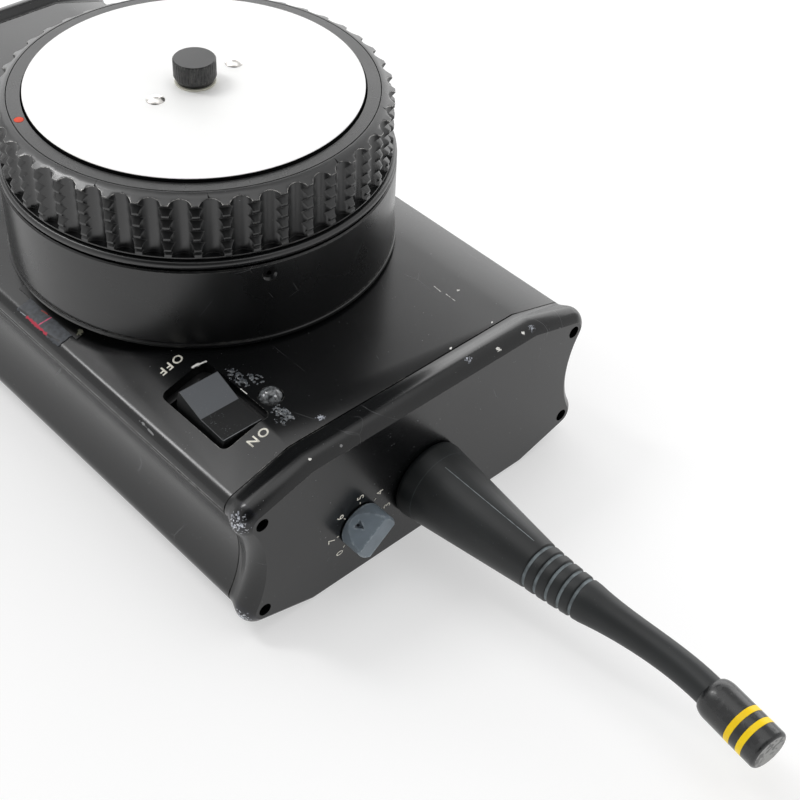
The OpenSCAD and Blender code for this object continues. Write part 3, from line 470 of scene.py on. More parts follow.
class Bench:
    """Steps of modelling by hand that the pieces share. Sizes are in millimetres."""

    @staticmethod
    def clear() -> None:
        """Leave edit mode and let go of everything."""
        if bpy.context.object and bpy.context.object.mode != "OBJECT":
            bpy.ops.object.mode_set(mode="OBJECT")
        bpy.ops.object.select_all(action="DESELECT")

    @staticmethod
    def take(obj: Piece) -> None:
        """Make one object the only selected and active one.

        Args:
            obj: The object.
        """
        Bench.clear()
        obj.select_set(True)
        bpy.context.view_layer.objects.active = obj

    @staticmethod
    def named(name: str) -> Piece:
        """Name the object that was just added.

        Args:
            name: Its name, which its data takes too.

        Returns:
            The object.
        """
        obj = bpy.context.object
        obj.name = name
        obj.data.name = name
        return obj

    @staticmethod
    def edit(obj: Piece) -> None:
        """Enter edit mode on one object with everything selected.

        Args:
            obj: The object.
        """
        Bench.take(obj)
        bpy.ops.object.mode_set(mode="EDIT")
        bpy.ops.mesh.select_all(action="SELECT")

    @staticmethod
    def close() -> None:
        """Weld double points, turn the faces outwards and leave edit mode."""
        bpy.ops.mesh.select_all(action="SELECT")
        bpy.ops.mesh.remove_doubles(threshold=WELD)
        bpy.ops.mesh.normals_make_consistent(inside=False)
        bpy.ops.object.mode_set(mode="OBJECT")

    @staticmethod
    def lathe(name: str, profile: Sequence[Point2], steps: int = 96) -> Piece:
        """Draw a profile point by point in X and Z and spin it about Z.

        Args:
            name: Name of the new piece.
            profile: Radius and height of each point.
            steps: Steps of the full turn.

        Returns:
            The turned piece.
        """
        Bench.clear()
        bpy.ops.mesh.primitive_plane_add(size=MM)
        obj = Bench.named(name)
        Bench.edit(obj)
        bpy.ops.mesh.merge(type="CENTER")
        bpy.ops.transform.translate(value=(profile[0][0] * MM, 0.0, profile[0][1] * MM))
        for (r0, z0), (r1, z1) in zip(profile, profile[1:]):
            step = ((r1 - r0) * MM, 0.0, (z1 - z0) * MM)
            bpy.ops.mesh.extrude_vertices_move(TRANSFORM_OT_translate={"value": step})
        bpy.ops.mesh.select_all(action="SELECT")
        bpy.ops.mesh.spin(steps=steps, angle=math.tau, center=(0, 0, 0), axis=(0, 0, 1))
        Bench.close()
        return obj

    @staticmethod
    def rod(name: str, radius: float, length: float, sides: int = 48) -> Piece:
        """Add a cylinder along Z, with its middle at the origin.

        Args:
            name: Name of the new piece.
            radius: Its radius.
            length: Its length.
            sides: Number of its sides.

        Returns:
            The cylinder.
        """
        Bench.clear()
        bpy.ops.mesh.primitive_cylinder_add(vertices=sides, radius=radius * MM, depth=length * MM)
        return Bench.named(name)

    @staticmethod
    def copy_node(node: str, flatten_deg: float = 0.4) -> Piece:
        """Copy a CAD node's mesh, weld it and clear the lines inside its flat faces.

        Args:
            node: Name of the CAD node.
            flatten_deg: Bend up to which two faces count as one flat face.

        Returns:
            The copy, named for the node.
        """
        Bench.clear()
        obj = bpy.data.objects.new(node + "_dressed", frame["nodes"][node].data.copy())
        obj.data.name = obj.name
        bpy.context.scene.collection.objects.link(obj)
        Bench.take(obj)
        bpy.ops.mesh.customdata_custom_splitnormals_clear()
        Bench.edit(obj)
        bpy.ops.mesh.remove_doubles(threshold=WELD)
        bpy.ops.mesh.dissolve_limited(angle_limit=math.radians(flatten_deg))
        Bench.close()
        return obj

    @staticmethod
    def modify(obj: Piece, kind: str, **settings: object) -> None:
        """Change a piece by one modifier and apply it.

        Args:
            obj: The piece.
            kind: The modifier's type.
            settings: The modifier's own settings by name.
        """
        Bench.take(obj)
        change = obj.modifiers.new(kind.lower(), kind)
        for key, value in settings.items():
            setattr(change, key, value)
        bpy.ops.object.modifier_apply(modifier=change.name)

    @staticmethod
    def bevel(obj: Piece, width: float, segments: int = 2, angle: float = 32.0) -> None:
        """Round every edge that is sharper than angle degrees."""
        Bench.modify(obj, "BEVEL", width=width * MM, segments=segments, limit_method="ANGLE",
                     angle_limit=math.radians(angle))

    @staticmethod
    def cut(obj: Piece, cutter: Piece) -> None:
        """Take the cutter's shape out of a piece and throw the cutter away."""
        Bench.modify(obj, "BOOLEAN", object=cutter, solver="EXACT")
        bpy.data.objects.remove(cutter)

    @staticmethod
    def wrap(obj: Piece, node: str, lift: float) -> None:
        """Lay a thin piece on a CAD node's surface, lift above it."""
        target = frame["nodes"][node]
        Bench.modify(obj, "SHRINKWRAP", target=target, wrap_mode="ABOVE_SURFACE", offset=lift * MM)

    @staticmethod
    def thicken(obj: Piece, thick: float) -> None:
        """Give an open surface a body on its outer side."""
        Bench.modify(obj, "SOLIDIFY", thickness=thick * MM, offset=1.0)

    @staticmethod
    def smooth(obj: Piece, angle: float = 35.0) -> None:
        """Shade a piece smoothly, with its flat faces kept flat.

        Args:
            obj: The piece.
            angle: Bend in degrees up to which an edge is shaded over.
        """
        Bench.take(obj)
        bpy.ops.object.shade_smooth_by_angle(angle=math.radians(angle))
        Bench.modify(obj, "WEIGHTED_NORMAL", keep_sharp=True)

    @staticmethod
    def place(obj: Piece, matrix: Matrix) -> None:
        """Move a piece to its place and bake that into its points.

        Args:
            obj: The piece.
            matrix: Its place.
        """
        Bench.take(obj)
        obj.matrix_world = matrix
        bpy.ops.object.transform_apply(location=True, rotation=True, scale=True)


def shift(x: float, y: float, z: float) -> Matrix:
    """A move in millimetres."""
    return Matrix.Translation(Vector((x, y, z)) * MM)


def turn_about(axis: str, degrees: float) -> Matrix:
    """A turn about one of the frame's axes."""
    return Matrix.Rotation(math.radians(degrees), 4, axis)


def arc(cx: float, cz: float, r: float, start: float, end: float, steps: int = 6) -> list[Point2]:
    """Points of an arc, its angles in degrees from the X axis."""
    turns = [math.radians(start + (end - start) * i / steps) for i in range(steps + 1)]
    return [(cx + r * math.cos(a), cz + r * math.sin(a)) for a in turns]


SLOT_OF = {part["node"]: part["material_slot"] for part in frame["record"]["subparts"]}
BODY_OF = {node: body for body, nodes in frame["record"]["behaviour"]["bodies"].items() for node in nodes}


def dress(obj: Piece, finish: Finish, node: str, stands_for: bool = True) -> None:
    """Give a finished piece its look and the body of a CAD node.

    Args:
        obj: The finished piece.
        finish: Its surface.
        node: The CAD node that it belongs to.
        stands_for: Whether it takes that node's place.
    """
    obj.data.materials.clear()
    obj.data.materials.append(finish.material())
    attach(obj, BODY_OF[node])
    if stands_for:
        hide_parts(node)
    LOG.info("%s: %d faces, %s", obj.name, len(obj.data.polygons), finish.name)


def dress_copy(node: str, finish: Finish, edge: float, segments: int = 2, angle: float = 32.0,
               blend: float = 35.0) -> None:
    """Put a copy of a CAD node, with rounded edges, in that node's place.

    Args:
        node: Name of the CAD node.
        finish: Its surface.
        edge: Width of its rounded edges, or zero to leave them as they are.
        segments: Steps of the rounding.
        angle: Bend in degrees from which an edge is rounded.
        blend: Bend in degrees up to which an edge is shaded over.
    """
    piece = Bench.copy_node(node)
    if edge:
        Bench.bevel(piece, edge, segments, angle)
    Bench.smooth(piece, blend)
    dress(piece, finish, node)


WHITE = "#ffffff"
# The scuff, pale-mark and chip colours also serve for painted glints and highlights on the cover's crease and
# the cap's ridge
SCUFF_AND_GLINT_GREY = "#8a8b8c"
CRACKLE = "#a9adb6"
PALE_MARK_AND_GLINT = "#e6e5e0"
CHIP_AND_HIGHLIGHT = "#fbfaf6"
PAINTED_GLINT = "#f2f5f8"
EDGE_WEAR = WornEdges("#9a9994", 0.45, 0.6, reach_mm=0.22, amount=0.6)
FAINT_LINES = Hairlines("#6f7072", 0.45, 0.0, amount=0.3)
DUST = Specks("#a9abad", 0.8, 0.0, amount=0.5, rarity=0.76)

# Blasted and black anodised aluminium: a soft dark sheen with a fine grain, and grey where edges have rubbed
CASE = Finish(
    "anodised_aluminium_blasted_black", "#0e0f10", 0.23, specular=0.55, mottle=0.1, smear=0.035,
    layers=(FAINT_LINES, DUST, EDGE_WEAR))
# The same on the cover, chipped round the rocker and at the front and scuffed along its left edge; the white
# streak along the cut-out's far edge at the crease is a painted highlight
COVER = replace(CASE, name="anodised_aluminium_blasted_cover", layers=CASE.layers + (
    # Painted highlight: a white streak on the cut-out's far edge at the crease, standing in for that edge's
    # reflection
    Stroke(CHIP_AND_HIGHLIGHT, 0.5, 0.0, start=(-30.3, -36.15, 38.2), end=(-29.0, -36.2, 38.2), width=1.2),
    Stroke(CHIP_AND_HIGHLIGHT, 0.5, 0.0, start=(-29.0, -36.3, 38.2), end=(-27.3, -36.5, 38.2), width=0.6, broken=0.6),
    Stroke(PALE_MARK_AND_GLINT, 0.5, 0.0, start=(-27.1, -47.3, 38.2), end=(-27.1, -49.2, 38.2), width=0.45),
    Stroke(SCUFF_AND_GLINT_GREY, 0.4, 0.4, start=(-45.9, -64.9, 31.5), end=(-45.9, 103.8, 31.5), width=0.25, broken=0.9),
    Stroke(SCUFF_AND_GLINT_GREY, 0.4, 0.5, start=(-44.8, -37.9, 33.7), end=(-45.1, -43.8, 33.5), width=0.7, broken=1.6),
    Stroke(PALE_MARK_AND_GLINT, 0.5, 0.0, start=(24.3, -48.4, 38.2), end=(24.1, -50.7, 38.2), width=0.4, broken=0.8),
    Stroke(PALE_MARK_AND_GLINT, 0.5, 0.0, start=(24.4, -52.0, 38.2), end=(24.3, -54.8, 38.2), width=0.45, broken=1.0),
    Patch(PALE_MARK_AND_GLINT, 0.5, 0.0, middle=(27.3, -52.6, 38.2), radius=0.8, cover=0.6, crumb_mm=0.5),
    Patch(CHIP_AND_HIGHLIGHT, 0.5, 0.0, middle=(25.1, -64.9, 38.2), radius=0.7, cover=0.9),
    Patch(CHIP_AND_HIGHLIGHT, 0.5, 0.0, middle=(13.0, -65.2, 38.2), radius=0.6, cover=0.9),
    Patch(CRACKLE, 0.5, 0.2, middle=(-20.5, -63.6, 38.2), radius=1.8, cover=0.5, crumb_mm=0.4),
))
# The same on the front cap, crackled on its two left lobes and chipped along its upper edge, with two glints
# painted on the left of its upper ridge
LOBE_WEAR = (
    ("#12131c", 0.2, 0.0, 0.9, 2.5), (CRACKLE, 0.4, 0.5, 0.25, 0.8), ("#d4d6dc", 0.4, 0.4, 0.22, 0.4))
LOBES = tuple(
    Patch(colour, rough, metal, middle=(-46.4, -70.6, z), radius=radius, cover=cover, crumb_mm=crumb)
    for z, radius in ((32.3, 6.0), (5.8, 5.4))
    for colour, rough, metal, cover, crumb in LOBE_WEAR)
CAP = replace(CASE, name="anodised_aluminium_blasted_cap", layers=CASE.layers + LOBES + (
    # Painted highlights: the next two patches are glints on the cap's upper ridge at the left
    Patch(PALE_MARK_AND_GLINT, 0.3, 0.6, middle=(-30.06, -71.43, 39.03), radius=0.9, cover=0.6),
    Patch(SCUFF_AND_GLINT_GREY, 0.4, 0.5, middle=(-22.8, -72.2, 38.5), radius=0.6, cover=0.6),
    Patch(CHIP_AND_HIGHLIGHT, 0.35, 0.3, middle=(27.2, -71.9, 38.8), radius=0.8, cover=0.9, crumb_mm=0.5),
    Patch(CRACKLE, 0.35, 0.3, middle=(29.7, -71.9, 38.7), radius=1.7, cover=0.5, crumb_mm=0.35),
    Patch(PALE_MARK_AND_GLINT, 0.35, 0.3, middle=(19.8, -72.1, 38.6), radius=1.1, cover=0.7, crumb_mm=0.5),
    Patch(CRACKLE, 0.35, 0.3, middle=(12.4, -70.8, 39.3), radius=1.8, cover=0.45, crumb_mm=0.35),
))
# Turned and black anodised aluminium: as the case, with a coarser and shallower grain
TURNED = Finish(
    "anodised_aluminium_turned_black", "#0c0d0e", 0.28, specular=0.65, mottle=0.1, smear=0.05,
    grain_mm=0.5, deep=0.003, layers=(FAINT_LINES, EDGE_WEAR))
# Knurled grip: black anodising worn to grey on the crests that fingers touch
KNURL = Finish("anodised_aluminium_knurled_black", "#0f1011", 0.3, specular=0.8, layers=(
    DUST,
    WornEdges("#8f8e8b", 0.45, 0.4, reach_mm=0.25, amount=0.35, place_mm=14.0),
    WornEdges("#d8d6d2", 0.35, 0.7, reach_mm=0.22, amount=1.0, place_mm=9.0, start=0.22,
              rise_mm=(71.5, 72.6), fall_mm=(73.4, 73.7)),
))
# The turned finish on the index ring, with lathe rings that catch the light from both sides
RING = replace(TURNED, name="anodised_aluminium_turned_ring", specular=0.7, turned_mm=0.3, deep=0.005,
               layers=(FAINT_LINES,))
# Chemically blackened steel: near black with a slight oily gloss
OXIDE = Finish("steel_black_oxide", "#0c0c0d", 0.4, metallic=0.6, grain_mm=0.2)
# Moulded nitrile rubber: flat and dead black
GASKET = Finish("nitrile_rubber_moulded", "#0a0a0a", 0.7, specular=0.3)
# Moulded rubber sleeve: dull dark grey with a mould line, and pale dust in its grooves
SLEEVE = Finish(
    "synthetic_rubber_moulded", "#171a1b", 0.45, specular=0.45, mottle=0.25, smear=0.07, grain_mm=0.25,
    layers=(
        Specks("#55595b", 0.8, 0.0, size_mm=0.5, amount=0.5),
        RingDust("#879195", 0.8, 0.0, first_mm=-104.9, pitch_mm=2.65, count=5, start=0.1, share=0.24,
                 amount=0.75, lean=0.0079),
        RingDust("#4d5456", 0.6, 0.0, first_mm=-77.4, pitch_mm=0.2, share=0.9, amount=0.5),
        Stroke("#7b8386", 0.6, 0.0, start=(-1.1, -79.4, 23.93), end=(0.2, -103.0, 21.11), width=0.26),
    ))
# Dipped vinyl cap: smoother and glossier than the sleeve, rubbed pale on its end face
TIP = Finish("vinyl_dipped_black", "#1b1c1d", 0.26, specular=0.6, smear=0.08, layers=(
    Facing("#959593", 0.5, 0.0, toward=(-0.13, -0.99, 0.0), shares=(0.975, 0.992)),
    Specks("#2a2b2c", 0.5, 0.0, size_mm=1.1, amount=0.7, rarity=0.54),
))
# Enamel bands: warm yellow with a little unevenness
BANDS = Finish("enamel_paint_yellow", "#ffd614", 0.35, specular=0.25, mottle=0.06, mottle_mm=3.0)
# Two-layer acrylic laminate: a matt white skin that takes a pencil, on a black core
DISC = Finish(
    "acrylic_laminate_white_on_black", "#fafaf9", 0.5, specular=0.3, mottle=0.015, grain_mm=0.6,
    layers=(Core("#0b0b0c", 0.3, 0.0, below_mm=74.53),))
# Natural nylon: milky and slightly yellow
NYLON = Finish("nylon_turned_natural", "#cfcdbf", 0.4, mottle=0.05)
# Moulded plastic carrier: plain satin black
CARRIER = Finish("abs_moulded_black", "#131314", 0.4)
# Black anodised thumb nut: fine lathe rings on its top, scuffed on the rim
NUT = Finish(
    "anodised_aluminium_thumb_nut", "#121315", 0.36, specular=0.6, grain_mm=0.35, turned_mm=0.45, deep=0.003,
    layers=(EDGE_WEAR,))
# Polished stainless steel: bright, with soft reflections of the white disc round it
POLISHED = Finish(
    "stainless_steel_polished", "#e6e3df", 0.28, metallic=1.0, mottle=0.05, mottle_mm=2.0, smear=0.05)
# Turned steel, aluminium, brass and nickel plate: bare metal with a fine grain
STEEL = Finish("steel_turned", "#8f8f8d", 0.35, metallic=1.0, grain_mm=0.2)
ALUMINIUM = Finish("aluminium_turned", "#b4b4b2", 0.35, metallic=1.0, grain_mm=0.2)
BRASS = Finish("brass_machined", "#b89550", 0.32, metallic=1.0, grain_mm=0.2)
NICKEL = Finish("brass_nickel_plated", "#b9b6ae", 0.24, metallic=1.0, mottle_mm=4.0)
# Orange index paint: flat colour in a drilled spot
INDEX = Finish("enamel_paint_orange", "#dc3d0c", 0.45, specular=0.25, mottle=0.08, mottle_mm=0.8)
# Moulded nylon rocker: fine spark-eroded texture, with painted light: its far facet painted grey as if lit,
# and painted highlights on its near and left edges
ROCKER = Finish(
    "nylon_moulded_textured_black", "#121314", 0.5, specular=0.4, mottle=0.12, mottle_mm=1.2, grain_mm=0.35,
    deep=0.02, layers=(
        # Painted light: the far facet lighter, and highlights on the near end and the left edge
        Facing("#5c5f63", 0.6, 0.0, toward=(0.0, -0.37, 0.93), shares=(0.97, 0.985)),
        Facing("#a4a6a9", 0.5, 0.0, toward=(0.0, -0.71, 0.71), shares=(0.95, 0.985), amount=0.8),
        Facing("#888a8d", 0.5, 0.0, toward=(-0.7, -0.2, 0.68), shares=(0.93, 0.98), amount=0.7),
        Specks("#7d8083", 0.6, 0.0, size_mm=0.3, amount=0.35, rarity=0.66),
    ))
# Moulded switch bodies: plain black nylon
SWITCH = Finish("nylon_moulded_black", "#141415", 0.42)
# Clear epoxy lamp: cloudy grey with small bright glints painted on as highlights
LAMP = Finish(
    "epoxy_cast_clear", "#6c6f71", 0.12, specular=0.6, mottle=0.8, mottle_mm=0.6, smear=0.06, clear=0.3,
    layers=(
        # Painted highlights: three glints on the dome
        Patch(PAINTED_GLINT, 0.1, 0.0, middle=(-24.3, -54.2, 39.4), radius=0.9, cover=0.9),
        Patch(PAINTED_GLINT, 0.1, 0.0, middle=(-21.9, -53.5, 38.6), radius=0.7, cover=0.8),
        Patch(PAINTED_GLINT, 0.1, 0.0, middle=(-25.6, -52.5, 39.3), radius=0.45, cover=0.8),
    ))
# Moulded grey selector: chalky blue grey, with its edges painted paler as highlights and painted shade in its
# sunk pointer
SELECTOR = Finish("abs_moulded_blue_grey", "#76818a", 0.42, mottle=0.08, mottle_mm=3.0, layers=(
    # Painted highlights: paler rounded edges
    WornEdges("#aab4bc", 0.5, 0.0, reach_mm=0.9, amount=0.9, place_mm=6.0, start=0.25),
    # Painted shade: a dark patch over the sunk pointer
    Patch("#262b33", 0.5, 0.0, middle=(-20.1, -75.2, 16.93), radius=2.2, cover=0.9, crumb_mm=3.0),
))
# Glass epoxy laminate with green resist: mottled under a gloss
BOARD = Finish("glass_epoxy_laminate_green", "#24522f", 0.3, mottle=0.2, mottle_mm=1.5)
# Tinned sheet steel screen: soft bright metal
TIN = Finish("steel_sheet_tinned", "#b5b7b5", 0.38, metallic=1.0)
# Cloth tape: matt slate grey with a worn nap, a red strip along its edge and a red pencil line, and a curled
# corner painted as a dark stroke with a white painted highlight
TAPE = Finish(
    "cotton_cloth_tape_grey", "#41454b", 0.5, specular=0.35, mottle=0.3, mottle_mm=1.0, grain_mm=0.4,
    deep=0.03, layers=(
        # A curled corner that is not modelled: a dark stroke, and beside it a white painted highlight
        Stroke("#15161a", 0.4, 0.0, start=(-44.4, 5.6, 34.2), end=(-44.2, 2.6, 34.3), width=0.7),
        Stroke("#b9bcc0", 0.4, 0.0, start=(-44.7, 4.9, 34.0), end=(-44.6, 2.9, 34.1), width=0.3),
        Stroke("#c02843", 0.5, 0.0, start=(-44.6, 2.3, 34.1), end=(-44.6, -4.9, 34.1), width=1.1),
        Stroke("#15161a", 0.4, 0.0, start=(-44.5, -5.2, 34.2), end=(-44.0, -8.6, 34.4), width=0.8),
        Stroke("#e0527c", 0.5, 0.0, start=(-44.2, -1.6, 34.3), end=(-41.4, -2.1, 35.2), width=0.55),
        Stroke("#a33a2c", 0.5, 0.0, start=(-41.7, 1.2, 35.1), end=(-41.3, -1.4, 35.2), width=0.5),
    ))
# Vinyl tape: black and smooth, torn to an olive fringe of glue at its near end
VINYL = Finish("vinyl_tape_black", "#070708", 0.35, specular=0.4, layers=(
    Patch("#8d8d7a", 0.6, 0.0, middle=(-39.7, -10.4, 35.6), radius=1.5, cover=0.8, crumb_mm=0.6),
))
# Screen printing ink: slightly warm white, a little uneven
INK = Finish("screen_ink_white", "#e9e6da", 0.6, mottle=0.12, mottle_mm=0.7, grain_mm=0.15)
# Old clear adhesive: grey crust, glossy where it is thick, with light specks painted on as glints
GLUE = Finish(
    "adhesive_residue_clear", "#494d51", 0.28, specular=0.7, mottle=0.7, mottle_mm=0.6, smear=0.15,
    smear_mm=1.0, grain_mm=0.4, deep=0.05,
    # Painted highlights: light specks as glints on the crust
    layers=(Specks("#a4a8ac", 0.3, 0.0, size_mm=0.5, amount=0.8, rarity=0.58),))

FINISH_OF_SLOT = {
    "anodised_body": CASE, "black_oxide": OXIDE, "gasket_rubber": GASKET, "antenna_rubber": SLEEVE,
    "antenna_plastic": TIP, "band_paint": BANDS, "white_acetal": DISC, "washer_nylon": NYLON,
    "carrier_plastic": CARRIER, "nut_anodised": NUT, "polished_steel": POLISHED, "steel": STEEL,
    "post_aluminium": ALUMINIUM, "brass": BRASS, "nickel": NICKEL, "index_paint": INDEX,
    "rocker_plastic": ROCKER, "switch_plastic": SWITCH, "lamp_lens": LAMP, "selector_plastic": SELECTOR,
    "board_laminate": BOARD, "shield_tin": TIN, "tape": TAPE,
}


@dataclass(frozen=True)
class SkyPatch:
    """A part of the room round a direction that is darker or brighter than the rest.

    level is its brightness, and reach is the cosine of its angle at its rim and at its full level.
    """

    toward: Point3
    level: float
    reach: Point2


@dataclass
class Studio:
    """Camera, floor and light that give the photo's view. Places are in millimetres."""

    position: Point3 = (-156.27, -220.77, 236.33)
    azimuth: float = -44.98
    elevation: float = 42.88
    roll: float = 3.21
    lens: float = 67.05
    sensor: float = 36.0
    nearest: float = 10.0
    sky: float = 0.75
    backdrop: float = 1.0
    patches: tuple[SkyPatch, ...] = (
        SkyPatch((0.0, 0.0, 1.0), 1.55, (0.85, 0.95)),
        SkyPatch((-0.52, -0.52, 0.68), 0.05, (0.68, 0.94)),
        SkyPatch((0.47, 0.55, 0.69), 0.3, (0.962, 0.99)),
        SkyPatch((-0.03, 0.66, 0.75), 1.6, (0.945, 0.98)),
    )
    window_place: Point3 = (930.0, 780.0, 466.0)
    window_size: Point2 = (2500.0, 880.0)
    window_watts: float = 11.4
    strip_place: Point3 = (-363.0, 674.0, 1050.0)
    strip_size: Point2 = (180.0, 450.0)
    strip_watts: float = 3.6
    table_size: float = 8000.0
    table_colour: str = "#f7f7f7"
    table_glow: float = 0.4
    table_level: float = 1.2

    def build(self) -> None:
        """Set the camera first, then the light and the floor."""
        self.camera()
        self.sky_light()
        self.panel("window", self.window_place, self.window_size, self.window_watts)
        self.panel("strip", self.strip_place, self.strip_size, self.strip_watts)
        self.floor()
        bpy.context.scene.view_settings.view_transform = "Standard"

    def camera(self) -> None:
        """Put the camera where the photo was taken."""
        a, e, r = (math.radians(v) for v in (self.azimuth, self.elevation, self.roll))
        back = Vector((math.sin(a) * math.cos(e), -math.cos(a) * math.cos(e), math.sin(e)))
        right = Vector((math.cos(a), math.sin(a), 0.0))
        up = back.cross(right)
        right, up = right * math.cos(r) + up * math.sin(r), up * math.cos(r) - right * math.sin(r)
        data = bpy.data.cameras.new("camera")
        data.lens = self.lens
        data.sensor_width = self.sensor
        data.clip_start = self.nearest * MM
        camera = bpy.data.objects.new("camera", data)
        bpy.context.scene.collection.objects.link(camera)
        camera.matrix_world = shift(*self.position) @ Matrix((right, up, back)).transposed().to_4x4()
        bpy.context.scene.camera = camera

    def sky_light(self) -> None:
        """A room that looks white, and is dim on the side where one stands to look."""
        world = bpy.data.worlds.new("white_room")
        world.use_nodes = True
        bpy.context.scene.world = world
        tree = world.node_tree
        tree.nodes.clear()
        way = add(tree, "TexCoord").outputs["Generated"]
        strength: object = self.sky
        for patch in self.patches:
            toward = Vector(patch.toward).normalized()
            near = add(tree, "VectorMath", {0: way, 1: toward}, operation="DOT_PRODUCT")
            ends = {1: patch.reach[0], 2: patch.reach[1]}
            share = add(tree, "MapRange", {0: near.outputs["Value"], **ends}, interpolation_type="SMOOTHSTEP")
            strength = add(tree, "Mix", {0: share, 2: strength, 3: patch.level})
        seen = add(tree, "LightPath").outputs["Is Camera Ray"]
        strength = add(tree, "Mix", {0: seen, 2: strength, 3: self.backdrop})
        room = add(tree, "Background", {"Color": linear(WHITE), "Strength": strength})
        add(tree, "OutputWorld", {"Surface": room})

    def panel(self, name: str, place: Point3, size: Point2, watts: float) -> None:
        """A soft light aimed at the knob.

        Args:
            name: Name of the light.
            place: Its middle.
            size: Its width and height.
            watts: Its power.
        """
        data = bpy.data.lights.new(name, "AREA")
        data.shape = "RECTANGLE"
        data.size, data.size_y = (side * MM for side in size)
        data.energy = watts
        lamp = bpy.data.objects.new(name, data)
        bpy.context.scene.collection.objects.link(lamp)
        turn = (-Vector(place)).to_track_quat("-Z", "Y").to_matrix().to_4x4()
        lamp.matrix_world = shift(*place) @ turn

    def floor(self) -> None:
        """A plain white table, lit a little from within, that keeps a soft shadow."""
        Bench.clear()
        bpy.ops.mesh.primitive_plane_add(size=self.table_size * MM)
        table = Bench.named("table")
        paint = bpy.data.materials.new("white_table")
        paint.use_nodes = True
        tree = paint.node_tree
        tree.nodes.clear()
        top = add(tree, "BsdfDiffuse", {"Color": linear(self.table_colour)})
        glow = add(tree, "Emission", {"Color": linear(WHITE), "Strength": self.table_level})
        both = add(tree, "MixShader", {0: self.table_glow, 1: top, 2: glow})
        add(tree, "OutputMaterial", {"Surface": both})
        table.data.materials.append(paint)


@dataclass(frozen=True)
class Strip:
    """A strip of tape: its middle in X and Y, its width and length, and how ragged its edges are."""

    middle: Point2
    size: Point2
    torn: float


@dataclass
class Housing:
    """Shells and caps, with the wear of the photographed one, and the tape on the left shoulder."""

    shell_edge: float = 0.1
    cap_blend: float = 26.0
    slope_deg: float = 16.0
    slope_top: Point2 = (30.3, 38.2)
    tape_lift: float = 0.04
    tape_thick: float = 0.14
    tape_grid: tuple[int, int] = (12, 40)
    tape_seed: int = 3
    tape_blend: float = 50.0
    cloth: Strip = Strip((-43.05, -1.8), (3.8, 15.5), 0.3)
    vinyl: Strip = Strip((-40.2, -0.5), (2.3, 21.5), 0.06)

    def build(self) -> None:
        """Dress copies of the shells and caps and lay the tape."""
        for node, finish in (("lower_shell", CASE), ("top_cover", COVER)):
            dress_copy(node, finish, self.shell_edge)
        for node, finish in (("front_cap", CAP), ("rear_cap", CASE)):
            dress_copy(node, finish, 0.0, blend=self.cap_blend)
        dress(self.tape("marking_tape_torn", self.cloth), TAPE, "marking_tape")
        dress(self.tape("marking_tape_strip", self.vinyl), VINYL, "marking_tape", stands_for=False)

    def tape(self, name: str, strip: Strip) -> Piece:
        """Lay a strip of tape over the left shoulder.

        Args:
            name: Name of the piece.
            strip: Its place and form.

        Returns:
            The strip.
        """
        slope = math.radians(self.slope_deg)
        high = self.slope_top[1] + (strip.middle[0] + self.slope_top[0]) * math.tan(slope)
        across, along = self.tape_grid
        Bench.clear()
        bpy.ops.mesh.primitive_grid_add(x_subdivisions=across, y_subdivisions=along, size=MM)
        piece = Bench.named(name)
        Bench.edit(piece)
        bpy.ops.transform.resize(value=(*strip.size, 1.0))
        bpy.ops.mesh.select_all(action="DESELECT")
        bpy.ops.mesh.select_non_manifold()
        bpy.ops.transform.vertex_random(offset=strip.torn * MM, seed=self.tape_seed)
        bpy.ops.object.mode_set(mode="OBJECT")
        Bench.place(piece, shift(*strip.middle, high) @ Matrix.Rotation(-slope, 4, "Y"))
        Bench.wrap(piece, "top_cover", self.tape_lift)
        Bench.thicken(piece, self.tape_thick)
        Bench.smooth(piece, self.tape_blend)
        return piece


@dataclass
class FocusKnob:
    """The fixed drum, the turning wheel, its marking disc and the thumb nut."""

    edge: float = 0.1
    fine_edge: float = 0.06
    disc_edge: float = 0.3

    def build(self) -> None:
        """Dress copies of the turned pieces, with their edges broken."""
        looks = {
            "knob_drum": (TURNED, self.edge), "focus_wheel": (KNURL, self.fine_edge),
            "index_ring": (RING, self.edge), "index_dot": (INDEX, self.edge),
            "marking_disc": (DISC, self.disc_edge), "nut_washer": (NYLON, self.edge),
            "thumb_nut": (NUT, self.fine_edge), "locating_pins": (POLISHED, self.fine_edge),
        }
        for node, (finish, edge) in looks.items():
            dress_copy(node, finish, edge)


@dataclass(frozen=True)
class Crust:
    """A lump of old glue: its name, its middle in X and Y and its half sizes."""

    name: str
    middle: Point2
    size: Point3


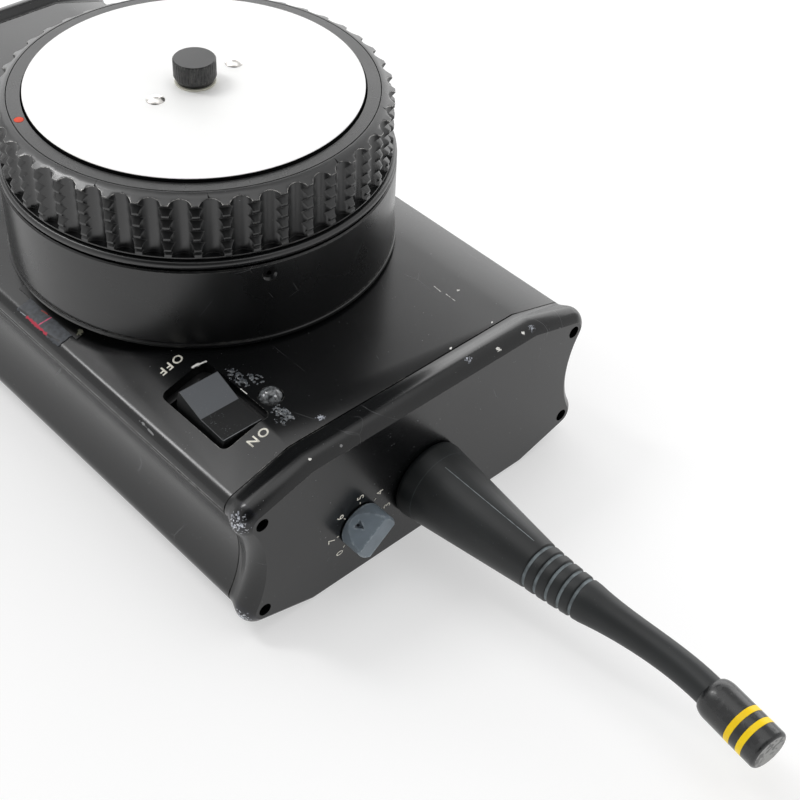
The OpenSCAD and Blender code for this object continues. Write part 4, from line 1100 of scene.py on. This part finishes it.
@dataclass
class RunSwitch:
    """The rocker, the lamp beside it and the old glue round them."""

    rocker_edge: float = 0.3
    rocker_steps: int = 3
    rocker_angle: float = 14.0
    lamp_place: Point2 = (-23.9, -52.6)
    lamp_r: float = 2.42
    lamp_sink: float = 0.7
    lamp_foot: float = 6.0
    dome_steps: int = 10
    lamp_sides: int = 48
    crumb: float = 0.75
    crumb_high: float = 0.7
    crust_sink: float = 0.13
    blend: float = 60.0
    crusts: tuple[Crust, ...] = (
        Crust("glue_crust_far", (-25.5, -44.2), (1.5, 3.6, 0.2)),
        Crust("glue_crust_mid", (-23.0, -46.8), (1.3, 2.2, 0.16)),
        Crust("glue_crust_near", (-25.3, -57.8), (1.7, 3.0, 0.2)),
        Crust("glue_crust_edge", (-26.8, -59.2), (1.2, 1.6, 0.22)),
    )

    def build(self) -> None:
        """Dress a copy of the rocker, turn the lamp and leave the glue."""
        dress_copy("rocker_button", ROCKER, self.rocker_edge, self.rocker_steps, self.rocker_angle)
        self.lamp()
        for crust in self.crusts:
            self.glue(crust)

    def glue(self, crust: Crust) -> None:
        """Leave a lump of old glue on the cover.

        Args:
            crust: Its name, place and size.
        """
        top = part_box("top_cover")[1].z / MM
        Bench.clear()
        bpy.ops.mesh.primitive_ico_sphere_add(subdivisions=5, radius=MM)
        lump = Bench.named(crust.name)
        Bench.edit(lump)
        bpy.ops.transform.resize(value=crust.size)
        Bench.close()
        Bench.place(lump, shift(*crust.middle, top - self.crust_sink))
        clouds = bpy.data.textures.new(crust.name, "CLOUDS")
        clouds.noise_scale = self.crumb * MM
        high = self.crumb_high * MM
        Bench.modify(lump, "DISPLACE", texture=clouds, texture_coords="LOCAL", strength=high, mid_level=0.5)
        Bench.smooth(lump, self.blend)
        dress(lump, GLUE, "top_cover", stands_for=False)

    def lamp(self) -> None:
        """A domed lamp that stands just out of the cover."""
        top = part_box("top_cover")[1].z / MM
        dome = arc(0.0, -self.lamp_sink, self.lamp_r, 0.0, 90.0, self.dome_steps)
        foot = [(0.0, -self.lamp_foot), (self.lamp_r, -self.lamp_foot)]
        lens = Bench.lathe("status_lamp_lens", foot + dome, self.lamp_sides)
        Bench.place(lens, shift(*self.lamp_place, top))
        Bench.smooth(lens, self.blend)
        dress(lens, LAMP, "status_lamp")


@dataclass
class ChannelSelector:
    """The grey selector knob, cut from a round button by two slanted flats."""

    radius: float = 5.0
    height: float = 5.1
    lip: float = 0.4
    band: float = 0.6
    bar: float = 4.4
    bar_deg: float = 38.0
    place: Point3 = (-18.2, -73.4, 14.5)
    fillet: float = 0.4
    fillet_steps: int = 4
    fillet_angle: float = 20.0
    blend: float = 30.0
    bore: float = 1.51
    grip: float = 3.6
    pointer_r: float = 1.1
    pointer_sink: float = 0.8
    pointer_down: float = 0.62

    def build(self) -> None:
        """Turn the button, slice its flats, round them and sink the pointer."""
        wide, high, lip = self.radius, self.height, self.lip
        profile = [(0.0, 0.0), (wide, 0.0), (wide, high - lip), (wide - lip, high), (0.0, high)]
        knob = Bench.lathe("channel_knob_dressed", profile)
        for side in (90, 270):
            self.slice_flat(knob, self.bar_deg + side)
        Bench.bevel(knob, self.fillet, self.fillet_steps, self.fillet_angle)
        Bench.cut(knob, self.pointer())
        Bench.cut(knob, Bench.rod("shaft_bore", self.bore, 2 * self.grip))
        Bench.place(knob, shift(*self.place) @ turn_about("X", 90))
        Bench.smooth(knob, self.blend)
        dress(knob, SELECTOR, "channel_knob")

    def lean(self) -> Vector:
        """Outward direction of a flat, in radius and height."""
        return Vector((self.height - self.band, 0.0, self.radius - self.bar / 2)).normalized()

    def slice_flat(self, knob: Piece, degrees: float) -> None:
        """Cut one slanted flat and close it.

        Args:
            knob: The turned button.
            degrees: Where the flat lies round its axis.
        """
        turn = turn_about("Z", degrees).to_3x3()
        Bench.edit(knob)
        bpy.ops.mesh.bisect(plane_co=turn @ Vector((self.bar / 2, 0.0, self.height)) * MM,
                            plane_no=turn @ self.lean(), use_fill=True, clear_outer=True, threshold=WELD)
        Bench.close()

    def pointer(self) -> Piece:
        """The triangle that is sunk into the upper flat.

        Returns:
            The cutter, in its place on the upright knob.
        """
        cutter = Bench.rod("pointer", self.pointer_r, 2 * self.pointer_sink, sides=3)
        lean = self.lean()
        down = self.pointer_down
        spot = Vector((self.bar / 2 + down * (self.radius - self.bar / 2), 0.0,
                       self.height - down * (self.height - self.band)))
        across = Vector((0, 1, 0))
        face = Matrix((across.cross(lean), across, lean)).transposed().to_4x4()
        turn = turn_about("Z", self.bar_deg + 90)
        Bench.place(cutter, turn @ shift(*spot) @ face @ turn_about("Z", 90))
        return cutter


@dataclass
class Antenna:
    """Rubber sleeve with its ribbed collar and bowed neck, and the banded tip.

    lip and groove give the run and the depth of each of their points, and bores the radius, start and end
    of each hole.
    """

    axis_z: float = 15.7
    boot_y: float = -73.4
    boot_r: float = 8.9
    boot_end_r: float = 5.2
    boot_len: float = 31.5
    lip: tuple[Point2, ...] = ((0.0, 0.5), (0.15, 0.2), (0.5, 0.05), (1.2, 0.0))
    ring_count: int = 5
    ring_pitch: float = 2.65
    groove: tuple[Point2, ...] = (
        (0.0, 0.0), (0.12, 0.08), (0.3, 0.45), (0.45, 0.45),
        (0.75, 0.45), (0.9, 0.45), (1.08, 0.16), (1.2, 0.1))
    neck_len: float = 28.4
    neck_start_r: float = 4.25
    neck_r: float = 3.1
    neck_steps: int = 18
    neck_power: int = 4
    bow: float = 6.0
    bow_side: float = 85.0
    tip_turn: float = 7.6
    tip_power: int = 4
    tip_edge: float = 0.04
    stub: float = 2.9
    stub_step: float = 0.05
    stub_cut: float = 0.25
    sides: int = 18
    blend: float = 50.0
    bores: tuple[Point3, ...] = ((7.3, -72.0, -74.7), (6.43, -72.0, -86.23), (1.22, -72.0, -118.15))
    bore_sides: int = 64

    def build(self) -> None:
        """Sweep the sleeve, bore it and dress the tip and bands."""
        dress(self.sleeve(), SLEEVE, "antenna_sleeve")
        for node, finish in (("antenna_tip", TIP), ("tip_bands", BANDS)):
            dress_copy(node, finish, self.tip_edge, segments=1)

    def runs(self) -> list[Point2]:
        """The rings of the grooves, the neck and the stub that the tip grips.

        Returns:
            Length along the bend and radius of each ring.
        """
        rings = []
        for i in range(self.ring_count):
            radius = self.boot_end_r + (self.neck_start_r - self.boot_end_r) * i / self.ring_count
            rings += [(i * self.ring_pitch + run, radius - deep) for run, deep in self.groove]
        start = self.ring_count * self.ring_pitch
        for i in range(self.neck_steps + 1):
            u = i / self.neck_steps
            flare = (self.neck_start_r - self.neck_r) * (1 - u) ** self.neck_power
            rings.append((start + self.neck_len * u, self.neck_r + flare))
        end = start + self.neck_len
        return rings + [(end + run, self.neck_r - self.stub_cut) for run in (self.stub_step, self.stub)]

    def stations(self) -> list[tuple[Vector, float]]:
        """Follow the bow of the sleeve from its root on.

        Returns:
            Middle and radius of each ring.
        """
        rings = [(Vector((0.0, self.boot_y - run, self.axis_z)), self.boot_r - deep)
                 for run, deep in self.lip]
        side = turn_about("Y", self.bow_side).to_3x3() @ Vector((0.0, 0.0, 1.0))
        at = Vector((0.0, self.boot_y - self.boot_len, self.axis_z))
        runs = self.runs()
        length = self.ring_count * self.ring_pitch + self.neck_len
        for (run, radius), (after, _) in zip(runs, runs[1:] + runs[-1:]):
            rings.append((at.copy(), radius))
            u = min((run + after) / 2 / length, 1.0)
            turn = math.radians(self.bow * math.sin(math.pi * u) - self.tip_turn * u ** self.tip_power)
            at += (after - run) * (side * math.sin(turn) - Vector((0.0, math.cos(turn), 0.0)))
        return rings

    def sleeve(self) -> Piece:
        """A path with a radius at each point, made a mesh and bored for the plug and the core.

        Returns:
            The sleeve.
        """
        rings = self.stations()
        Bench.clear()
        bpy.ops.curve.primitive_nurbs_path_add()
        path = Bench.named("antenna_sleeve_dressed")
        path.data.splines.clear()
        spline = path.data.splines.new("POLY")
        spline.points.add(len(rings) - 1)
        for point, (middle, radius) in zip(spline.points, rings):
            point.co = (*(middle * MM), 1.0)
            point.radius = radius
        path.data.bevel_depth = MM
        path.data.bevel_resolution = self.sides
        path.data.use_fill_caps = True
        Bench.take(path)
        bpy.ops.object.convert(target="MESH")
        sleeve = bpy.context.object
        Bench.edit(sleeve)
        Bench.close()
        for radius, start, end in self.bores:
            cutter = Bench.rod("bore", radius, start - end, self.bore_sides)
            Bench.place(cutter, shift(0.0, (start + end) / 2, self.axis_z) @ turn_about("X", 90))
            Bench.cut(sleeve, cutter)
        Bench.smooth(sleeve, self.blend)
        return sleeve


@dataclass
class PowerInlet:
    """The socket on the rear cap."""

    edge: float = 0.15
    fine_edge: float = 0.05

    def build(self) -> None:
        """Dress copies of the socket's pieces, with their edges broken."""
        dress_copy("power_inlet", NICKEL, self.edge)
        for node, finish in (("inlet_insulator", SWITCH), ("inlet_contacts", BRASS)):
            dress_copy(node, finish, self.fine_edge)


class Lay(Enum):
    """How a print lies: the directions of its lines, of its letters' height and out of the surface."""

    ON_SLOPE = ((-0.961, 0, -0.276), (0, -1, 0), (-0.276, 0, 0.961))
    ON_FRONT = ((0, 0, 1), (-1, 0, 0), (0, -1, 0))
    ON_DIAL = ((1, 0, 0), (0, 0, 1), (0, -1, 0))

    def matrix(self) -> Matrix:
        """The turn from a print's own flat to the surface."""
        return Matrix(self.value).transposed().to_4x4()


@dataclass
class Prints:
    """Screen printed words and numbers. words gives X, Y and the depth under the cover's top of each."""

    thick: float = 0.02
    crease: float = -30.3
    words: tuple[tuple[str, Point3], ...] = (("OFF", (-32.76, -32.16, 0.71)), ("ON", (-32.51, -59.51, 0.63)))
    word_high: float = 2.1
    bold: float = 0.02
    spacing: float = 1.25
    curve_steps: int = 4
    digit_high: float = 1.75
    dial: Point3 = (-18.2, -73.1, 14.5)
    digit_r: float = 7.4
    tick_r: float = 5.75
    tick_size: Point2 = (0.55, 0.22)
    first_deg: float = 90.0
    step_deg: float = 45.0
    digits: str = "56701234"
    ink_slot: str = "index_paint"

    def build(self) -> None:
        """Print ON and OFF by the rocker and the channel numbers round the selector."""
        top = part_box("top_cover")[1].z / MM
        for text, (x, y, down) in self.words:
            place = shift(x, y, top - down) @ Lay.ON_SLOPE.matrix()
            word = self.word("print_" + text.lower(), text, self.word_high, self.bold, place)
            self.lay(word, "top_cover")
        for i, digit in enumerate(self.digits):
            angle = math.radians(self.first_deg + self.step_deg * i)
            place = shift(*self.spot(self.digit_r, angle)) @ Lay.ON_FRONT.matrix()
            word = self.word("print_channel_" + digit, digit, self.digit_high, 0.0, place)
            self.lay(word, "front_cap")
            self.tick("print_tick_" + digit, angle)

    def spot(self, radius: float, angle: float) -> Point3:
        """The place on the dial at a radius and an angle."""
        x, y, z = self.dial
        return (x + radius * math.cos(angle), y, z + radius * math.sin(angle))

    def word(self, name: str, text: str, high: float, weight: float, place: Matrix) -> Piece:
        """Cut one word out of a flat sheet.

        Args:
            name: Name of the piece.
            text: What it says.
            high: Height of its letters.
            weight: How much its strokes are thickened.
            place: Where its middle goes and how it lies.

        Returns:
            The flat word in its place.
        """
        Bench.clear()
        bpy.ops.object.text_add()
        letters = Bench.named(name)
        letters.data.body = text
        letters.data.align_x = "CENTER"
        letters.data.align_y = "CENTER"
        letters.data.space_character = self.spacing
        letters.data.offset = weight
        letters.data.resolution_u = self.curve_steps
        Bench.take(letters)
        bpy.ops.object.convert(target="MESH")
        word = bpy.context.object
        scale = high * MM / word.dimensions.y
        middle = sum((Vector(corner) for corner in word.bound_box), Vector()) / len(word.bound_box)
        Bench.place(word, place @ Matrix.Scale(scale, 4) @ Matrix.Translation(-middle))
        return word

    def lay(self, word: Piece, node: str) -> None:
        """Print one word on the surface that it lies at.

        Args:
            word: The flat word in its place.
            node: The CAD node that it is printed on.
        """
        Bench.edit(word)
        bpy.ops.mesh.bisect(plane_co=Vector((self.crease, 0.0, 0.0)) * MM, plane_no=(1, 0, 0), threshold=WELD)
        bpy.ops.object.mode_set(mode="OBJECT")
        Bench.wrap(word, node, self.thick / 2)
        Bench.thicken(word, self.thick)
        dress(word, INK, node, stands_for=False)

    def tick(self, name: str, angle: float) -> None:
        """Print one short line of the dial.

        Args:
            name: Name of the piece.
            angle: Its place round the dial, in radians.
        """
        Bench.clear()
        bpy.ops.mesh.primitive_plane_add(size=MM)
        tick = Bench.named(name)
        Bench.edit(tick)
        bpy.ops.transform.resize(value=(*self.tick_size, 1.0))
        bpy.ops.mesh.extrude_region_move(TRANSFORM_OT_translate={"value": (0.0, 0.0, self.thick * MM)})
        Bench.close()
        spot = shift(*self.spot(self.tick_r, angle))
        Bench.place(tick, spot @ Lay.ON_DIAL.matrix() @ Matrix.Rotation(angle, 4, "Z"))
        dress(tick, INK, "front_cap", stands_for=False)


def dress_inner_nodes() -> None:
    """Give every CAD node that still shows the finish of its slot."""
    for name, obj in frame["nodes"].items():
        if not obj.hide_render:
            obj.data.materials.clear()
            obj.data.materials.append(FINISH_OF_SLOT[SLOT_OF[name]].material())


def main() -> None:
    """Build the scene in order."""
    logging.basicConfig(level=logging.INFO)
    Studio().build()
    assemblies = (Housing(), FocusKnob(), RunSwitch(), ChannelSelector(), Antenna(), PowerInlet(), Prints())
    for assembly in assemblies:
        assembly.build()
    dress_inner_nodes()
    Bench.clear()


if __name__ == "__main__":
    main()
